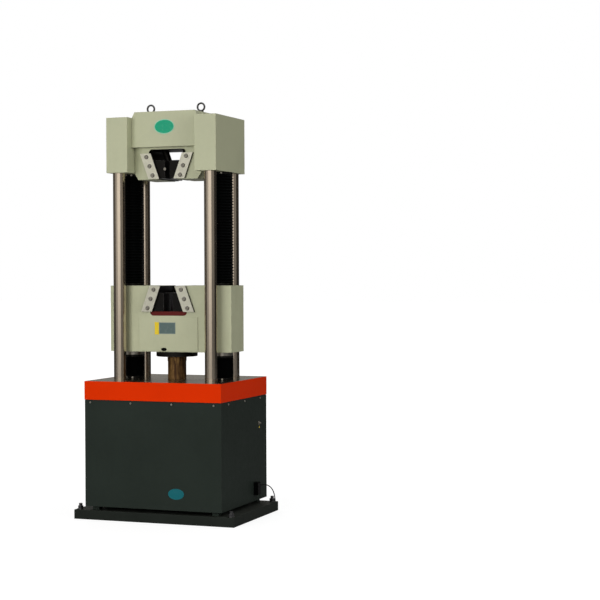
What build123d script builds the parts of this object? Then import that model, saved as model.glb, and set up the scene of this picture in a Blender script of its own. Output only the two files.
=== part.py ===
from build123d import *
import os
from math import cos, pi, radians, sin, tan

# Universal testing machine, load frame. Millimetres.
# X runs to the right seen from the front, Y to the back, Z up. The origin is on the floor, under the middle.

# Columns and screws, which all widths and depths follow
column_radius = 36.4
column_x = 289
column_y = 163.5
screw_offset = 2

# Base plate and anchor bolts
plate_margin_x = 73
plate_margin_y = 0.5
plate_thickness = 54
plate_edge_chamfer = 2
anchor_edge_x = 27
anchor_edge_y = 29
anchor_stud_radius = 10
anchor_shank_radius = 9.2
anchor_hole_radius = 11
anchor_stud_rise = 34
anchor_nut_across = 30
anchor_nut_height = 16
anchor_washer_radius = 20
anchor_washer_thickness = 3

# Machine bed, which carries the cylinder and both screws
bed_screw_margin = 78
bed_motor_gap = 68
bed_thickness = 120
bed_foot_height = 58
bed_foot_size = 90
bed_corner_radius = 30
motor_lug_width = 170
motor_lug_thickness = 26
bed_lug_overlap = 10

# Ram and cylinder
ram_radius = 110
barrel_radius = 150
barrel_height = 368
barrel_floor = 30
head_height = 40
head_radius = 165
ram_lower_gap = 4
seat_radius = 90
seat_height = 24
cylinder_edge = 5

# Enclosure
enclosure_margin_x = 138
enclosure_margin_y = 178.5
panel_lift = 24
panel_thickness = 2
panel_flange = 16
enclosure_top_gap = 1.5
post_size = 40
post_foot_inset = 30
post_foot_rise = 45
rail_height = 35

# Moving table and its skirt
table_rest_gap = 59
table_thickness = 100
skirt_height = 106.5
skirt_overhang = 4.5
skirt_thickness = 3
table_screw_hole_radius = 44
table_recess = 2
table_recess_gap = 0.2

# Column ends
column_thread_radius = 30
column_nut_radius = 47
column_nut_height = 50
column_end_rise = 7
nut_flat_count = 8

# Lead screws, bearings, nuts, sprockets and chain
screw_radius = 30
screw_journal_radius = 22
screw_top_gap = 44
screw_foot_gap = 12
bearing_radius = 65
bearing_height = 45
bearing_flange_radius = 84
bearing_flange_height = 16
thrust_collar_radius = 45
thrust_collar_height = 14
screw_nut_radius = 52
screw_nut_length = 170
nut_flange_radius = 64
nut_flange_height = 22
chain_pitch = 15.875
chain_height = 28
chain_roller_radius = 5.08
chain_plate_thickness = 1.6
chain_plate_half_width = 7
sprocket_thickness = 8.6
screw_sprocket_teeth = 17
motor_sprocket_teeth = 13
sprocket_hub_rise = 12
motor_panel_gap = 74
motor_radius = 65
motor_height = 190
motor_foot_size = 130
motor_foot_height = 90
motor_foot_edge = 12
motor_rib_step = 4
motor_shaft_radius = 12

# Bellows round the screws
bellows_radius = 64
bellows_pleat_pitch = 16.7
bellows_pleat_depth = 15
bellows_skin = 1.5
bellows_ring_height = 12
bellows_ring_radius = 66

# Upper crosshead
frame_daylight = 1202
end_block_inner_margin = 78
end_block_outer_margin = 57
end_block_margin_y = 51.5
end_cover_height = 319.5
cover_thickness = 3
cover_edge_radius = 3
crosshead_thickness = 239
throat_drop = 39.5
throat_half_depth = 122
throat_chamfer_x = 23
throat_chamfer_z = 35
throat_neck_rise = 12
throat_bevel_x = 49
throat_bevel_y = 8
hood_overhang = 38
hood_headroom = 28
hood_bottom_rise = 147
hood_chamfer_x = 20
hood_chamfer_z = 38
eyebolt_x = 161
eyebolt_ring_radius = 22
eyebolt_wire_radius = 5.5
eyebolt_wire_sides = 12
eyebolt_sunk = 3
eyebolt_collar_radius = 16
eyebolt_collar_height = 8

# Wedge mouth, guide plates and jaws, the same in both crossheads
wedge_angle = 20
mouth_height = 174.5
mouth_half_width = 61.8
mouth_corner_radius = 20
guide_plate_width = 64
guide_plate_length = 148
guide_plate_thickness = 15
guide_plate_inset = 3
guide_plate_overlap = 17
guide_hole_radius = 8.5
guide_hole_pitch = 57
jaw_end_inset = 5
jaw_length = 105
jaw_travel = 40
grip_gap = 8
insert_thickness = 12
insert_half_depth = 45
insert_tooth_pitch = 8
insert_tooth_depth = 1.5
jaw_rod_radius = 20
jaw_rod_x = 46
jaw_cylinder_radius = 37
jaw_cylinder_height = 84
jaw_cylinder_cap = 8
jaw_rod_end_gap = 3

# Compression tools between table and middle crosshead
pillar_radius = 54
pillar_height = 106
pillar_head_radius = 56
pillar_head_height = 26.7
platen_gap = 0.3
platen_radius = 121
platen_thickness = 29
platen_edge_chamfer = 3

# Middle crosshead
middle_end_margin = 96
middle_centre_half_depth = 117
middle_end_half_depth = 92
middle_centre_margin = 53
middle_pocket_margin = 54
middle_pocket_bottom = 16
middle_web = 62
middle_cylinder_headroom = 48.5
middle_screw_gap = 4
access_cover_lap = 5
access_cover_lift = 4
access_cover_thickness = 4
access_cover_height = 199
rod_plate_thickness = 24
rod_plate_inset_y = 6
rod_plate_side_gap = 0.3
rod_plate_hole_gap = 1.5

# Connector box, cable, coil and plug on the right side
connector_y = 134
connector_z = 115
connector_length = 45
connector_height = 74
connector_depth = 28
gland_radius = 8
gland_length = 14
gland_z = 165
cable_radius = 3
cable_lift = 0.1
coil_outer_radius = 46
coil_inner_radius = 20
coil_layers = 2
coil_layer_gap = 0.2
plug_radius = 9
plug_start = 32
plug_length = 42

# Oil port block on the rear panel
oil_port_x = -110
oil_port_z = 300
oil_block_width = 96
oil_block_height = 60
oil_block_depth = 36
oil_port_spacing = 44
oil_port_radius = 9.3
oil_port_depth = 18
oil_pipe_radius = 12

# Clearances
running_fit = 0.05
slide_gap = 0.3
panel_gap = 0.5
rod_gap = 0.5

# Widths and depths that follow from the columns and screws
screw_x = column_x - screw_offset
bed_width = 2 * (screw_x + bed_screw_margin)
enclosure_width = 2 * (column_x + enclosure_margin_x)
enclosure_depth = 2 * (column_y + enclosure_margin_y)
motor_y = enclosure_depth / 2 - motor_panel_gap
bed_depth = 2 * (motor_y - bed_motor_gap)
plate_width = enclosure_width + 2 * plate_margin_x
plate_depth = enclosure_depth + 2 * plate_margin_y
anchor_x = plate_width / 2 - anchor_edge_x
anchor_y = plate_depth / 2 - anchor_edge_y
skirt_width = enclosure_width
skirt_depth = enclosure_depth + 2 * skirt_overhang
end_block_inner_x = column_x - end_block_inner_margin
end_block_outer_x = column_x + end_block_outer_margin
end_block_half_depth = column_y + end_block_margin_y
hood_half_depth = throat_half_depth + hood_overhang
hood_top_rise = crosshead_thickness + jaw_cylinder_height + hood_headroom
middle_width = 2 * (column_x + middle_end_margin)
middle_centre_half_width = column_x - middle_centre_margin
middle_pocket_half_width = middle_centre_half_width - middle_pocket_margin
access_cover_half_width = middle_pocket_half_width + access_cover_lap
coil_height = 2 * coil_layers * cable_radius + coil_layers * coil_layer_gap
bellows_bore = bellows_radius - bellows_pleat_depth - bellows_skin

# Heights that follow from the stack of pieces
bed_bottom = plate_thickness + bed_foot_height
bed_top = bed_bottom + bed_thickness
barrel_top = bed_top + barrel_height
head_top = barrel_top + head_height
table_bottom = head_top + table_rest_gap
table_top = table_bottom + table_thickness
table_seat = table_top - table_recess
skirt_bottom = table_top - skirt_height
enclosure_bottom = plate_thickness + panel_lift
enclosure_top = skirt_bottom - enclosure_top_gap
crosshead_bottom = table_top + frame_daylight
crosshead_top = crosshead_bottom + crosshead_thickness
throat_bottom = crosshead_bottom - throat_drop
pillar_top = table_top + pillar_height + pillar_head_height
middle_bottom = pillar_top + platen_gap + platen_thickness
middle_web_top = mouth_height + middle_web
middle_height = middle_web_top + jaw_cylinder_height + middle_cylinder_headroom + middle_pocket_bottom
middle_top = middle_bottom + middle_height
wedge_slope = tan(radians(wedge_angle))
jaw_centre_drop = jaw_travel * cos(radians(wedge_angle))
jaw_centre_shift = jaw_travel * sin(radians(wedge_angle))
upper_web_top = crosshead_top - throat_bottom
sides = (("left", -1), ("right", 1))


def save(part, node):
    part.label = node
    export_step(part, os.path.join("parts", node + ".step"))


def box(x0, x1, y0, y1, z0, z1):
    """Box between two corners."""
    block = Box(x1 - x0, y1 - y0, z1 - z0)
    return Pos((x0 + x1) / 2, (y0 + y1) / 2, (z0 + z1) / 2) * block


def rod(x, y, z0, z1, radius):
    """Upright cylinder from z0 to z1."""
    return Pos(x, y, (z0 + z1) / 2) * Cylinder(radius, z1 - z0)


def tube(x, y, z0, z1, radius, bore):
    return rod(x, y, z0, z1, radius) - rod(x, y, z0 - 1, z1 + 1, bore)


def front_prism(sketch, half_depth):
    """Solid of a front outline, given as a sketch of X and Z, as deep each way from the middle."""
    return extrude(Plane.XZ * sketch, amount=half_depth, both=True)


def outline(points):
    return make_face(Polyline(*points, close=True))


def nut(x, y, z0, z1, radius, bore, sides_count):
    body = extrude(Plane.XY.offset(z0) * RegularPolygon(radius, sides_count), amount=z1 - z0)
    return Pos(x, y, 0) * body - rod(x, y, z0 - 1, z1 + 1, bore)


def four_corners(x, y):
    return [(sx * x, sy * y) for sx in (-1, 1) for sy in (-1, 1)]


# Base

def base_plate():
    plate = box(-plate_width / 2, plate_width / 2, -plate_depth / 2, plate_depth / 2, 0, plate_thickness)
    plate = chamfer(plate.edges().group_by(Axis.Z)[-1], plate_edge_chamfer)
    for x, y in four_corners(anchor_x, anchor_y):
        plate -= rod(x, y, -1, plate_thickness + 1, anchor_hole_radius)
    return plate


def anchor_bolts():
    """Stud, washer and nut at each corner; the stud's shank stands in the plate, its thread over the nut."""
    bolts = []
    washer_top = plate_thickness + anchor_washer_thickness
    nut_top = washer_top + anchor_nut_height
    nut_radius = anchor_nut_across / 2 / cos(pi / 6)
    for x, y in four_corners(anchor_x, anchor_y):
        stud = rod(x, y, 1, nut_top, anchor_shank_radius)
        stud += rod(x, y, nut_top, plate_thickness + anchor_stud_rise, anchor_stud_radius)
        stud += rod(x, y, plate_thickness, washer_top, anchor_washer_radius)
        stud += nut(x, y, washer_top, nut_top, nut_radius, anchor_shank_radius / 2, 6)
        bolts.append(stud)
    return Compound(children=bolts)


def machine_bed():
    """Thick casting on four feet, with a bore for each screw and a lug for the motor."""
    bed = box(-bed_width / 2, bed_width / 2, -bed_depth / 2, bed_depth / 2, bed_bottom, bed_top)
    bed = fillet(bed.edges().filter_by(Axis.Z), bed_corner_radius)
    foot_x = (bed_width - bed_foot_size) / 2
    foot_y = (bed_depth - bed_foot_size) / 2
    for x, y in four_corners(foot_x, foot_y):
        half = bed_foot_size / 2
        bed += box(x - half, x + half, y - half, y + half, plate_thickness, bed_bottom + 1)
    lug_end = motor_y + motor_foot_size / 2
    bed += box(-motor_lug_width / 2, motor_lug_width / 2, bed_depth / 2 - bed_lug_overlap, lug_end,
               bed_bottom, bed_bottom + motor_lug_thickness)
    bed -= rod(0, motor_y, bed_bottom - 1, bed_bottom + motor_lug_thickness + 1, motor_shaft_radius + 1)
    for _, side in sides:
        bed -= rod(side * screw_x, 0, bed_bottom - 1, bed_top + 1, screw_journal_radius + rod_gap)
    return bed


def screw_bearings():
    """Flanged thrust housing on the bed round each screw."""
    housings = []
    for _, side in sides:
        x = side * screw_x
        housing = rod(x, 0, bed_top, bed_top + bearing_height, bearing_radius)
        housing += rod(x, 0, bed_top, bed_top + bearing_flange_height, bearing_flange_radius)
        housing -= rod(x, 0, bed_top - 1, bed_top + bearing_height + 1, screw_journal_radius + running_fit)
        housings.append(housing)
    return Compound(children=housings)


def cylinder_barrel():
    barrel = rod(0, 0, bed_top, barrel_top, barrel_radius)
    barrel -= rod(0, 0, bed_top + barrel_floor, barrel_top + 1, ram_radius + running_fit)
    return chamfer(barrel.edges().filter_by(GeomType.CIRCLE).group_by(Axis.Z)[0], cylinder_edge)


def cylinder_head():
    head = tube(0, 0, barrel_top, head_top, head_radius, ram_radius + slide_gap)
    return chamfer(head.edges().filter_by(GeomType.CIRCLE).group_by(Axis.Z)[-1].sort_by(SortBy.RADIUS)[-1],
                   cylinder_edge)


def drive_motor():
    """Gearbox on the bed's lug with the motor upright on it."""
    z0 = bed_bottom + motor_lug_thickness
    z1 = z0 + motor_foot_height
    half = motor_foot_size / 2
    motor = box(-half, half, motor_y - half, motor_y + half, z0, z1)
    motor = fillet(motor.edges().filter_by(Axis.Z), motor_foot_edge)
    motor += rod(0, motor_y, z1, z1 + motor_height, motor_radius - motor_rib_step)
    motor += rod(0, motor_y, z1 + 2 * motor_rib_step, z1 + motor_height * 0.8, motor_radius)
    motor -= rod(0, motor_y, z0 - 1, z0 + motor_foot_height / 2, motor_shaft_radius + running_fit)
    return motor


def sprocket_pitch_radius(teeth):
    return chain_pitch / (2 * sin(pi / teeth))


def sprocket(teeth, bore):
    """Toothed wheel for the roller chain, with its hub below, centred on the Z axis."""
    pitch_radius = sprocket_pitch_radius(teeth)
    face = Circle(pitch_radius + chain_roller_radius * 0.7)
    gap = Circle(chain_roller_radius)
    for k in range(teeth):
        face -= Rot(0, 0, 360 * k / teeth) * Pos(pitch_radius, 0) * gap
    z0 = chain_height + plate_thickness - sprocket_thickness / 2
    wheel = extrude(Plane.XY.offset(z0) * face, amount=sprocket_thickness)
    wheel += rod(0, 0, z0 - sprocket_hub_rise, z0 + 1, pitch_radius * 0.66)
    return wheel - rod(0, 0, z0 - sprocket_hub_rise - 1, z0 + sprocket_thickness + 1, bore)


def drive_chain():
    """Both rows of side plates of the chain, round the two screw sprockets and the motor sprocket."""
    rows = []
    z = plate_thickness + chain_height
    wheels = [(side * screw_x, 0, screw_sprocket_teeth) for _, side in sides]
    wheels.append((0, motor_y, motor_sprocket_teeth))

    def loop(offset):
        edges = ShapeList()
        for x, y, teeth in wheels:
            edges += (Pos(x, y) * Circle(sprocket_pitch_radius(teeth) + offset)).edges()
        return make_hull(edges)

    band = loop(chain_plate_half_width) - loop(-chain_plate_half_width)
    inner = sprocket_thickness / 2 + slide_gap
    for z0 in (z + inner, z - inner - chain_plate_thickness):
        rows.append(extrude(Plane.XY.offset(z0) * band, amount=chain_plate_thickness))
    return Compound(children=rows)


# Enclosure

def enclosure_frame():
    """Four posts joined by rails along their tops, each welded to a foot that stands further in."""
    x = enclosure_width / 2 - panel_thickness
    y = enclosure_depth / 2 - panel_thickness
    rail_bottom = enclosure_top - panel_thickness - rail_height
    rail_top = enclosure_top - panel_thickness
    frame = box(-x, x, -y, y, rail_bottom, rail_top)
    frame -= box(-x + post_size, x - post_size, -y + post_size, y - post_size, rail_bottom - 1, rail_top + 1)
    post_bottom = enclosure_bottom + panel_thickness
    for inset, z0, z1 in ((0, post_bottom, rail_bottom + 1),
                          (post_foot_inset, plate_thickness, post_bottom + post_foot_rise)):
        for sx, sy in four_corners(1, 1):
            px = sorted((sx * (x - inset), sx * (x - inset - post_size)))
            py = sorted((sy * (y - inset), sy * (y - inset - post_size)))
            frame += box(*px, *py, z0, z1)
    return frame


def wide_panel(side):
    """Front (-1) or rear (+1) sheet, with its edges folded inwards at top and bottom."""
    x = enclosure_width / 2
    outer = enclosure_depth / 2
    inner = outer - panel_thickness
    lips = outer - panel_flange
    sheet = box(-x, x, inner, outer, enclosure_bottom, enclosure_top)
    lip_x = x - post_size - 2 * panel_thickness
    top_lip_x = x - panel_thickness
    sheet += box(-top_lip_x, top_lip_x, lips, outer, enclosure_top - panel_thickness, enclosure_top)
    sheet += box(-lip_x, lip_x, lips, outer, enclosure_bottom, enclosure_bottom + panel_thickness)
    if side > 0:
        sheet -= Pos(oil_port_x, inner, oil_port_z) * Rot(90, 0, 0) * Cylinder(oil_pipe_radius + 1, 20)
    return sheet if side > 0 else mirror(sheet, Plane.XZ)


def side_panel(side):
    """Left (-1) or right (+1) sheet, between the front and rear ones."""
    y = enclosure_depth / 2 - panel_thickness
    outer = enclosure_width / 2
    lips = outer - panel_flange
    sheet = box(outer - panel_thickness, outer, -y, y, enclosure_bottom, enclosure_top)
    lip_y = y - post_size - 2 * panel_thickness
    lip_top = y - panel_flange
    sheet += box(lips, outer, -lip_top, lip_top, enclosure_top - panel_thickness, enclosure_top)
    sheet += box(lips, outer, -lip_y, lip_y, enclosure_bottom, enclosure_bottom + panel_thickness)
    return sheet if side > 0 else mirror(sheet, Plane.YZ)


def oil_port_block():
    """Block on the rear panel with the pressure and return ports, and its pipe to the cylinder's side."""
    y0 = enclosure_depth / 2
    y1 = y0 + oil_block_depth
    half_w = oil_block_width / 2
    half_h = oil_block_height / 2
    block = box(oil_port_x - half_w, oil_port_x + half_w, y0, y1,
                oil_port_z - half_h, oil_port_z + half_h)
    block = chamfer(block.edges().group_by(Axis.Y)[-1], 2)
    for side in (-1, 1):
        x = oil_port_x + side * oil_port_spacing / 2
        port = Cylinder(oil_port_radius, oil_port_depth)
        block -= Pos(x, y1 - oil_port_depth / 2, oil_port_z) * Rot(90, 0, 0) * port
    pipe = Pos(oil_port_x, y0 / 2 + 1, oil_port_z) * Rot(90, 0, 0) * Cylinder(oil_pipe_radius, y0 + 2)
    return block + (pipe - rod(0, 0, bed_top, barrel_top, barrel_radius))


# Connector box, cable and plug

def connector_box():
    x0 = enclosure_width / 2
    body = box(x0, x0 + connector_depth, connector_y, connector_y + connector_length,
               connector_z, connector_z + connector_height)
    return fillet(body.edges().group_by(Axis.X)[-1], 3)


def gland_centre():
    return Vector(enclosure_width / 2 + connector_depth / 2, connector_y + connector_length, gland_z)


def cable_gland():
    start = gland_centre()
    half = gland_length / 2
    nut_part = Pos(start + Vector(0, half / 2, 0)) * Rot(90, 0, 0) * Cylinder(gland_radius, half)
    cone = Cone(gland_radius * 0.8, cable_radius + 1, half)
    return nut_part + Pos(start + Vector(0, half * 3 / 2, 0)) * Rot(-90, 0, 0) * cone


# The cable's route from the gland, over the back edge of the base plate and down to the floor behind it
cable_route = [
    (441, 193, 165), (441, 226, 165), (446, 250, 163), (455, 276, 158), (463, 302, 146),
    (469, 326, 127), (472, 346, 102), (473, 359, 72), (472, 368, 40), (466, 374, 16),
    (450, 381, 5), (424, 388, 3.1), (396, 391, 3.1), (370, 396, 3.1), (347, 405, 3.1),
]


def cable_radii():
    """Each corner's arc: 0.45 of its shorter run, divided by the tangent of half the turn."""
    radii = []
    points = [Vector(*p) for p in cable_route]
    for a, b, c in zip(points, points[1:], points[2:]):
        turn = radians((b - a).get_angle(c - b))
        radii.append(0.45 * min((b - a).length, (c - b).length) / tan(turn / 2))
    return radii


def signal_cable():
    radii = cable_radii()
    print("cable radii", [round(r, 1) for r in radii])
    path = FilletPolyline(*cable_route, radius=radii)
    start = Plane(origin=cable_route[0], z_dir=path % 0)
    cable = sweep(start * Circle(cable_radius), path=path)
    print("cable volume ratio", cable.volume / (pi * cable_radius ** 2 * path.length), "length", path.length)
    return cable


def coil_centre():
    end = Vector(*cable_route[-1])
    before = Vector(*cable_route[-2])
    ahead = (end - before).normalized()
    across = Vector(ahead.Y, -ahead.X, 0)
    middle = (coil_outer_radius + coil_inner_radius) / 2
    return end + across * middle


def cable_coil():
    """The rest of the cable as one closed ring on the floor, with its end straight on into the plug."""
    centre = coil_centre()
    top = cable_lift + coil_height
    coil = tube(centre.X, centre.Y, cable_lift, top, coil_outer_radius, coil_inner_radius)
    coil = chamfer(coil.edges().filter_by(GeomType.CIRCLE), cable_radius / 2)
    y = centre.Y + coil_outer_radius - cable_radius
    tail = Pos(centre.X + plug_start / 2, y, plug_radius) * Rot(0, 90, 0) * Cylinder(cable_radius, plug_start)
    return coil + tail


def cable_plug():
    """Round connector on the floor, in line with the coil's outer turn: a grip and a wider shell."""
    centre = coil_centre()
    x = centre.X + plug_start
    y = centre.Y + coil_outer_radius - cable_radius
    shell_length = plug_length * 0.45
    shell = Pos(x + plug_length - shell_length / 2, y, plug_radius) * Rot(0, 90, 0) * Cylinder(
        plug_radius, shell_length)
    grip = Pos(x + plug_length / 2, y, plug_radius) * Rot(0, 90, 0) * Cylinder(plug_radius - 2, plug_length)
    return shell + grip


# Moving frame

def ram():
    body = rod(0, 0, bed_top + barrel_floor + ram_lower_gap, table_bottom - seat_height, ram_radius)
    return chamfer(body.edges().filter_by(GeomType.CIRCLE).group_by(Axis.Z)[0], cylinder_edge)


def ram_seat():
    seat = rod(0, 0, table_bottom - seat_height, table_bottom, seat_radius)
    return chamfer(seat.edges().filter_by(GeomType.CIRCLE).group_by(Axis.Z)[0], cylinder_edge)


def work_table():
    """Thick plate with shallow recesses that centre the pillar and the rings of the bellows."""
    x = skirt_width / 2 - skirt_thickness
    y = skirt_depth / 2 - skirt_thickness
    table = box(-x, x, -y, y, table_bottom, table_top)
    for cx, cy in four_corners(column_x, column_y):
        table -= rod(cx, cy, table_bottom - 1, table_top + 1, column_radius + running_fit)
    for _, side in sides:
        table -= rod(side * screw_x, 0, table_bottom - 1, table_top + 1, table_screw_hole_radius)
        table -= rod(side * screw_x, 0, table_seat, table_top + 1, bellows_ring_radius + table_recess_gap)
    return table - rod(0, 0, table_seat, table_top + 1, pillar_radius + table_recess_gap)


def table_skirt():
    x = skirt_width / 2
    y = skirt_depth / 2
    t = skirt_thickness
    skirt = box(-x, x, -y, y, skirt_bottom, table_top)
    return skirt - box(-x + t, x - t, -y + t, y - t, skirt_bottom - 1, table_top + 1)


def column(sx, sy):
    """Ground column, stepped down to a thread for the nut at each end."""
    x = sx * column_x
    y = sy * column_y
    reach = column_nut_height + column_end_rise
    thread = rod(x, y, table_bottom - reach, crosshead_top + reach, column_thread_radius)
    thread = chamfer(thread.edges().filter_by(GeomType.CIRCLE), 2)
    return thread + rod(x, y, table_bottom, crosshead_top, column_radius)


def column_nuts():
    """A lock nut under the table and one over the crosshead on each column."""
    nuts = []
    for x, y in four_corners(column_x, column_y):
        for z0 in (table_bottom - column_nut_height, crosshead_top):
            nuts.append(nut(x, y, z0, z0 + column_nut_height, column_nut_radius,
                            column_thread_radius + running_fit, nut_flat_count))
    return Compound(children=nuts)


# Wedge mouth and jaws. Heights here are measured from the crosshead's face at the narrow end of the mouth.

def mouth_outline(side_gap=0):
    """Front outline of the mouth, narrow at 0 and wide at the top, or of a piece that fills it."""
    wide = mouth_half_width + wedge_slope * mouth_height - side_gap
    low = mouth_half_width - wedge_slope - side_gap
    sketch = outline([(-low, -1), (low, -1), (wide, mouth_height), (-wide, mouth_height)])
    return fillet(sketch.vertices().group_by(Axis.Y)[-1], mouth_corner_radius)


def guide_inner(height):
    """Half the distance between the guide plates' inner edges at a height in the mouth."""
    return mouth_half_width - guide_plate_overlap + wedge_slope * height


def guide_plate_outline(side):
    """Front outline of one guide plate, with its three screw holes."""
    z0 = guide_plate_inset
    z1 = z0 + guide_plate_length
    width = guide_plate_width / cos(radians(wedge_angle))
    plate = outline([
        (side * guide_inner(z0), z0), (side * (guide_inner(z0) + width), z0),
        (side * (guide_inner(z1) + width), z1), (side * guide_inner(z1), z1)])
    for k in (-1, 0, 1):
        z = (z0 + z1) / 2 + k * guide_hole_pitch * cos(radians(wedge_angle))
        plate -= Pos(side * (guide_inner(z) + width / 2), z) * Circle(guide_hole_radius)
    return plate


def guide_plates(half_depth):
    """Two plates on the front and two on the back, in the mouth's own heights."""
    plates = []
    for _, side in sides:
        sketch = guide_plate_outline(side)
        for face in (-1, 1):
            y0 = face * half_depth
            plate = extrude(Plane.XZ.offset(-y0) * sketch, amount=-face * guide_plate_thickness)
            plates.append(plate)
    return plates


def jaw_rod(side, radius, low, high):
    """Round bar between two heights, along the wedge's slope, through the middle of the jaw's top."""
    middle_z = (high + low) / 2
    x = jaw_rod_x + wedge_slope * (middle_z - jaw_end_inset - jaw_length)
    length = (high - low) / cos(radians(wedge_angle))
    return Pos(side * x, 0, middle_z) * Rot(0, side * wedge_angle, 0) * Cylinder(radius, length)


def jaw(side, half_depth, web_top):
    """Wedge block, closed, with its pull rod up into the cylinder over the web."""
    z0 = jaw_end_inset
    z1 = z0 + jaw_length
    face = grip_gap / 2 + insert_thickness
    gap = slide_gap / cos(radians(wedge_angle))
    back0 = mouth_half_width + wedge_slope * z0 - gap
    back1 = mouth_half_width + wedge_slope * z1 - gap
    sketch = outline([(side * face, z0), (side * back0, z0), (side * back1, z1), (side * face, z1)])
    heel = sketch.vertices().group_by(Axis.Y)[-1].sort_by(lambda v: side * v.X)[-1]
    block = front_prism(fillet(heel, mouth_corner_radius), half_depth - panel_gap)
    rod_top = web_top + jaw_cylinder_height - jaw_cylinder_cap - jaw_rod_end_gap - jaw_centre_drop
    tip_slant = jaw_rod_radius * sin(radians(wedge_angle))
    return block + jaw_rod(side, jaw_rod_radius, z1 - jaw_rod_radius, rod_top - tip_slant)


def jaw_insert(side):
    """Hardened plate on the jaw's face, with teeth across the grip."""
    z0 = jaw_end_inset
    face = grip_gap / 2
    back = face + insert_thickness
    count = int(jaw_length // insert_tooth_pitch)
    points = [(back, z0), (face, z0)]
    for k in range(count):
        z = z0 + k * insert_tooth_pitch
        points += [(face + insert_tooth_depth, z + insert_tooth_pitch / 2), (face, z + insert_tooth_pitch)]
    points += [(face, z0 + jaw_length), (back, z0 + jaw_length)]
    clean = [p for k, p in enumerate(points) if k == 0 or p != points[k - 1]]
    return front_prism(outline([(side * x, z) for x, z in clean]), insert_half_depth)


def jaw_cylinder(side, web_top):
    """Cylinder that moves one jaw, slanted with its rod and cut off square where it stands on the web."""
    top = web_top + jaw_cylinder_height
    outer = jaw_rod(side, jaw_cylinder_radius, web_top - jaw_cylinder_height, top)
    bore = jaw_rod(side, jaw_rod_radius + rod_gap, web_top - jaw_cylinder_height, top - jaw_cylinder_cap)
    span = 2 * end_block_inner_x
    return (outer & box(-span, span, -span, span, web_top, top + span)) - bore


def upper(part):
    """Places a piece of the mouth in the upper crosshead, narrow end down."""
    return Pos(0, 0, throat_bottom) * part


def middle(part):
    """Places a piece of the mouth in the middle crosshead, narrow end up."""
    return Pos(0, 0, middle_top) * Rot(180, 0, 0) * part


def middle_open(side, part):
    """The same, with the jaw run down and out to its stop."""
    return Pos(side * jaw_centre_shift, 0, -jaw_centre_drop) * middle(part)


# Upper crosshead and its covers

def throat_outline():
    x = end_block_inner_x - panel_gap
    return outline([
        (-x, throat_bottom + throat_chamfer_z), (-x + throat_chamfer_x, throat_bottom),
        (x - throat_chamfer_x, throat_bottom), (x, throat_bottom + throat_chamfer_z),
        (x, crosshead_top), (-x, crosshead_top)])


def upper_crosshead():
    """Cast beam: a deep boss at each end for the columns and a hanging throat with the mouth between them."""
    beam = front_prism(throat_outline(), throat_half_depth)
    x_side = end_block_inner_x - panel_gap
    for side in (-1, 1):
        for face in (-1, 1):
            corner = outline([
                (side * (x_side - throat_bevel_x), face * (throat_half_depth + 1)),
                (side * (x_side - throat_bevel_x), face * throat_half_depth),
                (side * x_side, face * (throat_half_depth - throat_bevel_y)),
                (side * (x_side + 1), face * (throat_half_depth + 1))])
            beam -= extrude(Plane.XY.offset(throat_bottom - 1) * corner,
                            amount=hood_bottom_rise + throat_drop + 1)
    boss_y = end_block_half_depth - cover_thickness - panel_gap
    boss_x0 = end_block_inner_x + cover_thickness + panel_gap
    boss_x1 = end_block_outer_x - cover_thickness - panel_gap
    for _, side in sides:
        xs = sorted((side * boss_x0, side * boss_x1))
        beam += box(*xs, -boss_y, boss_y, crosshead_bottom, crosshead_top)
        xs = sorted((side * (x_side - 1), side * (boss_x0 + 1)))
        neck = throat_half_depth - throat_bevel_y
        beam += box(*xs, -neck, neck, throat_bottom + throat_chamfer_z + throat_neck_rise, crosshead_top)
    beam -= upper(front_prism(mouth_outline(), throat_half_depth + 1))
    for cx, cy in four_corners(column_x, column_y):
        beam -= rod(cx, cy, crosshead_bottom - 1, crosshead_top + 1, column_radius + running_fit)
    for _, side in sides:
        beam -= upper(jaw_rod(side, jaw_rod_radius + rod_gap, mouth_height - 10, upper_web_top + 30))
    return beam


def casting_room():
    """Space that the casting takes between the end covers, with a gap round it."""
    x = end_block_inner_x + cover_thickness + 2
    y = throat_half_depth + panel_gap
    return box(-x, x, -y, y, throat_bottom - 1, crosshead_top + panel_gap)


def end_cover(side):
    """Sheet-metal cap over one end of the crosshead, open below."""
    t = cover_thickness
    xs = sorted((side * end_block_inner_x, side * end_block_outer_x))
    y = end_block_half_depth
    z0 = crosshead_bottom
    z1 = z0 + end_cover_height
    cap = box(*xs, -y, y, z0, z1)
    cap = fillet(cap.edges().filter_by(Axis.Z), cover_edge_radius)
    cap -= box(xs[0] + t, xs[1] - t, -y + t, y - t, z0 - 1, z1 - t)
    return cap - casting_room()


def hood_outline(inset):
    """Front outline of the hood, with its two sloped top corners."""
    x = end_block_inner_x - panel_gap - inset
    z0 = crosshead_bottom + hood_bottom_rise + inset
    z1 = crosshead_bottom + hood_top_rise - inset
    return outline([(-x, z0), (x, z0), (x, z1 - hood_chamfer_z), (x - hood_chamfer_x, z1),
                    (-x + hood_chamfer_x, z1), (-x, z1 - hood_chamfer_z)])


def top_hood():
    """Sheet-metal hood over the jaw cylinders, with a return round the casting at its lower edge."""
    shell = front_prism(hood_outline(0), hood_half_depth)
    shell -= front_prism(hood_outline(cover_thickness), hood_half_depth - cover_thickness)
    return shell - casting_room()


def upper_jaw_cylinders():
    return Compound(children=[upper(jaw_cylinder(side, upper_web_top)) for _, side in sides])


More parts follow.
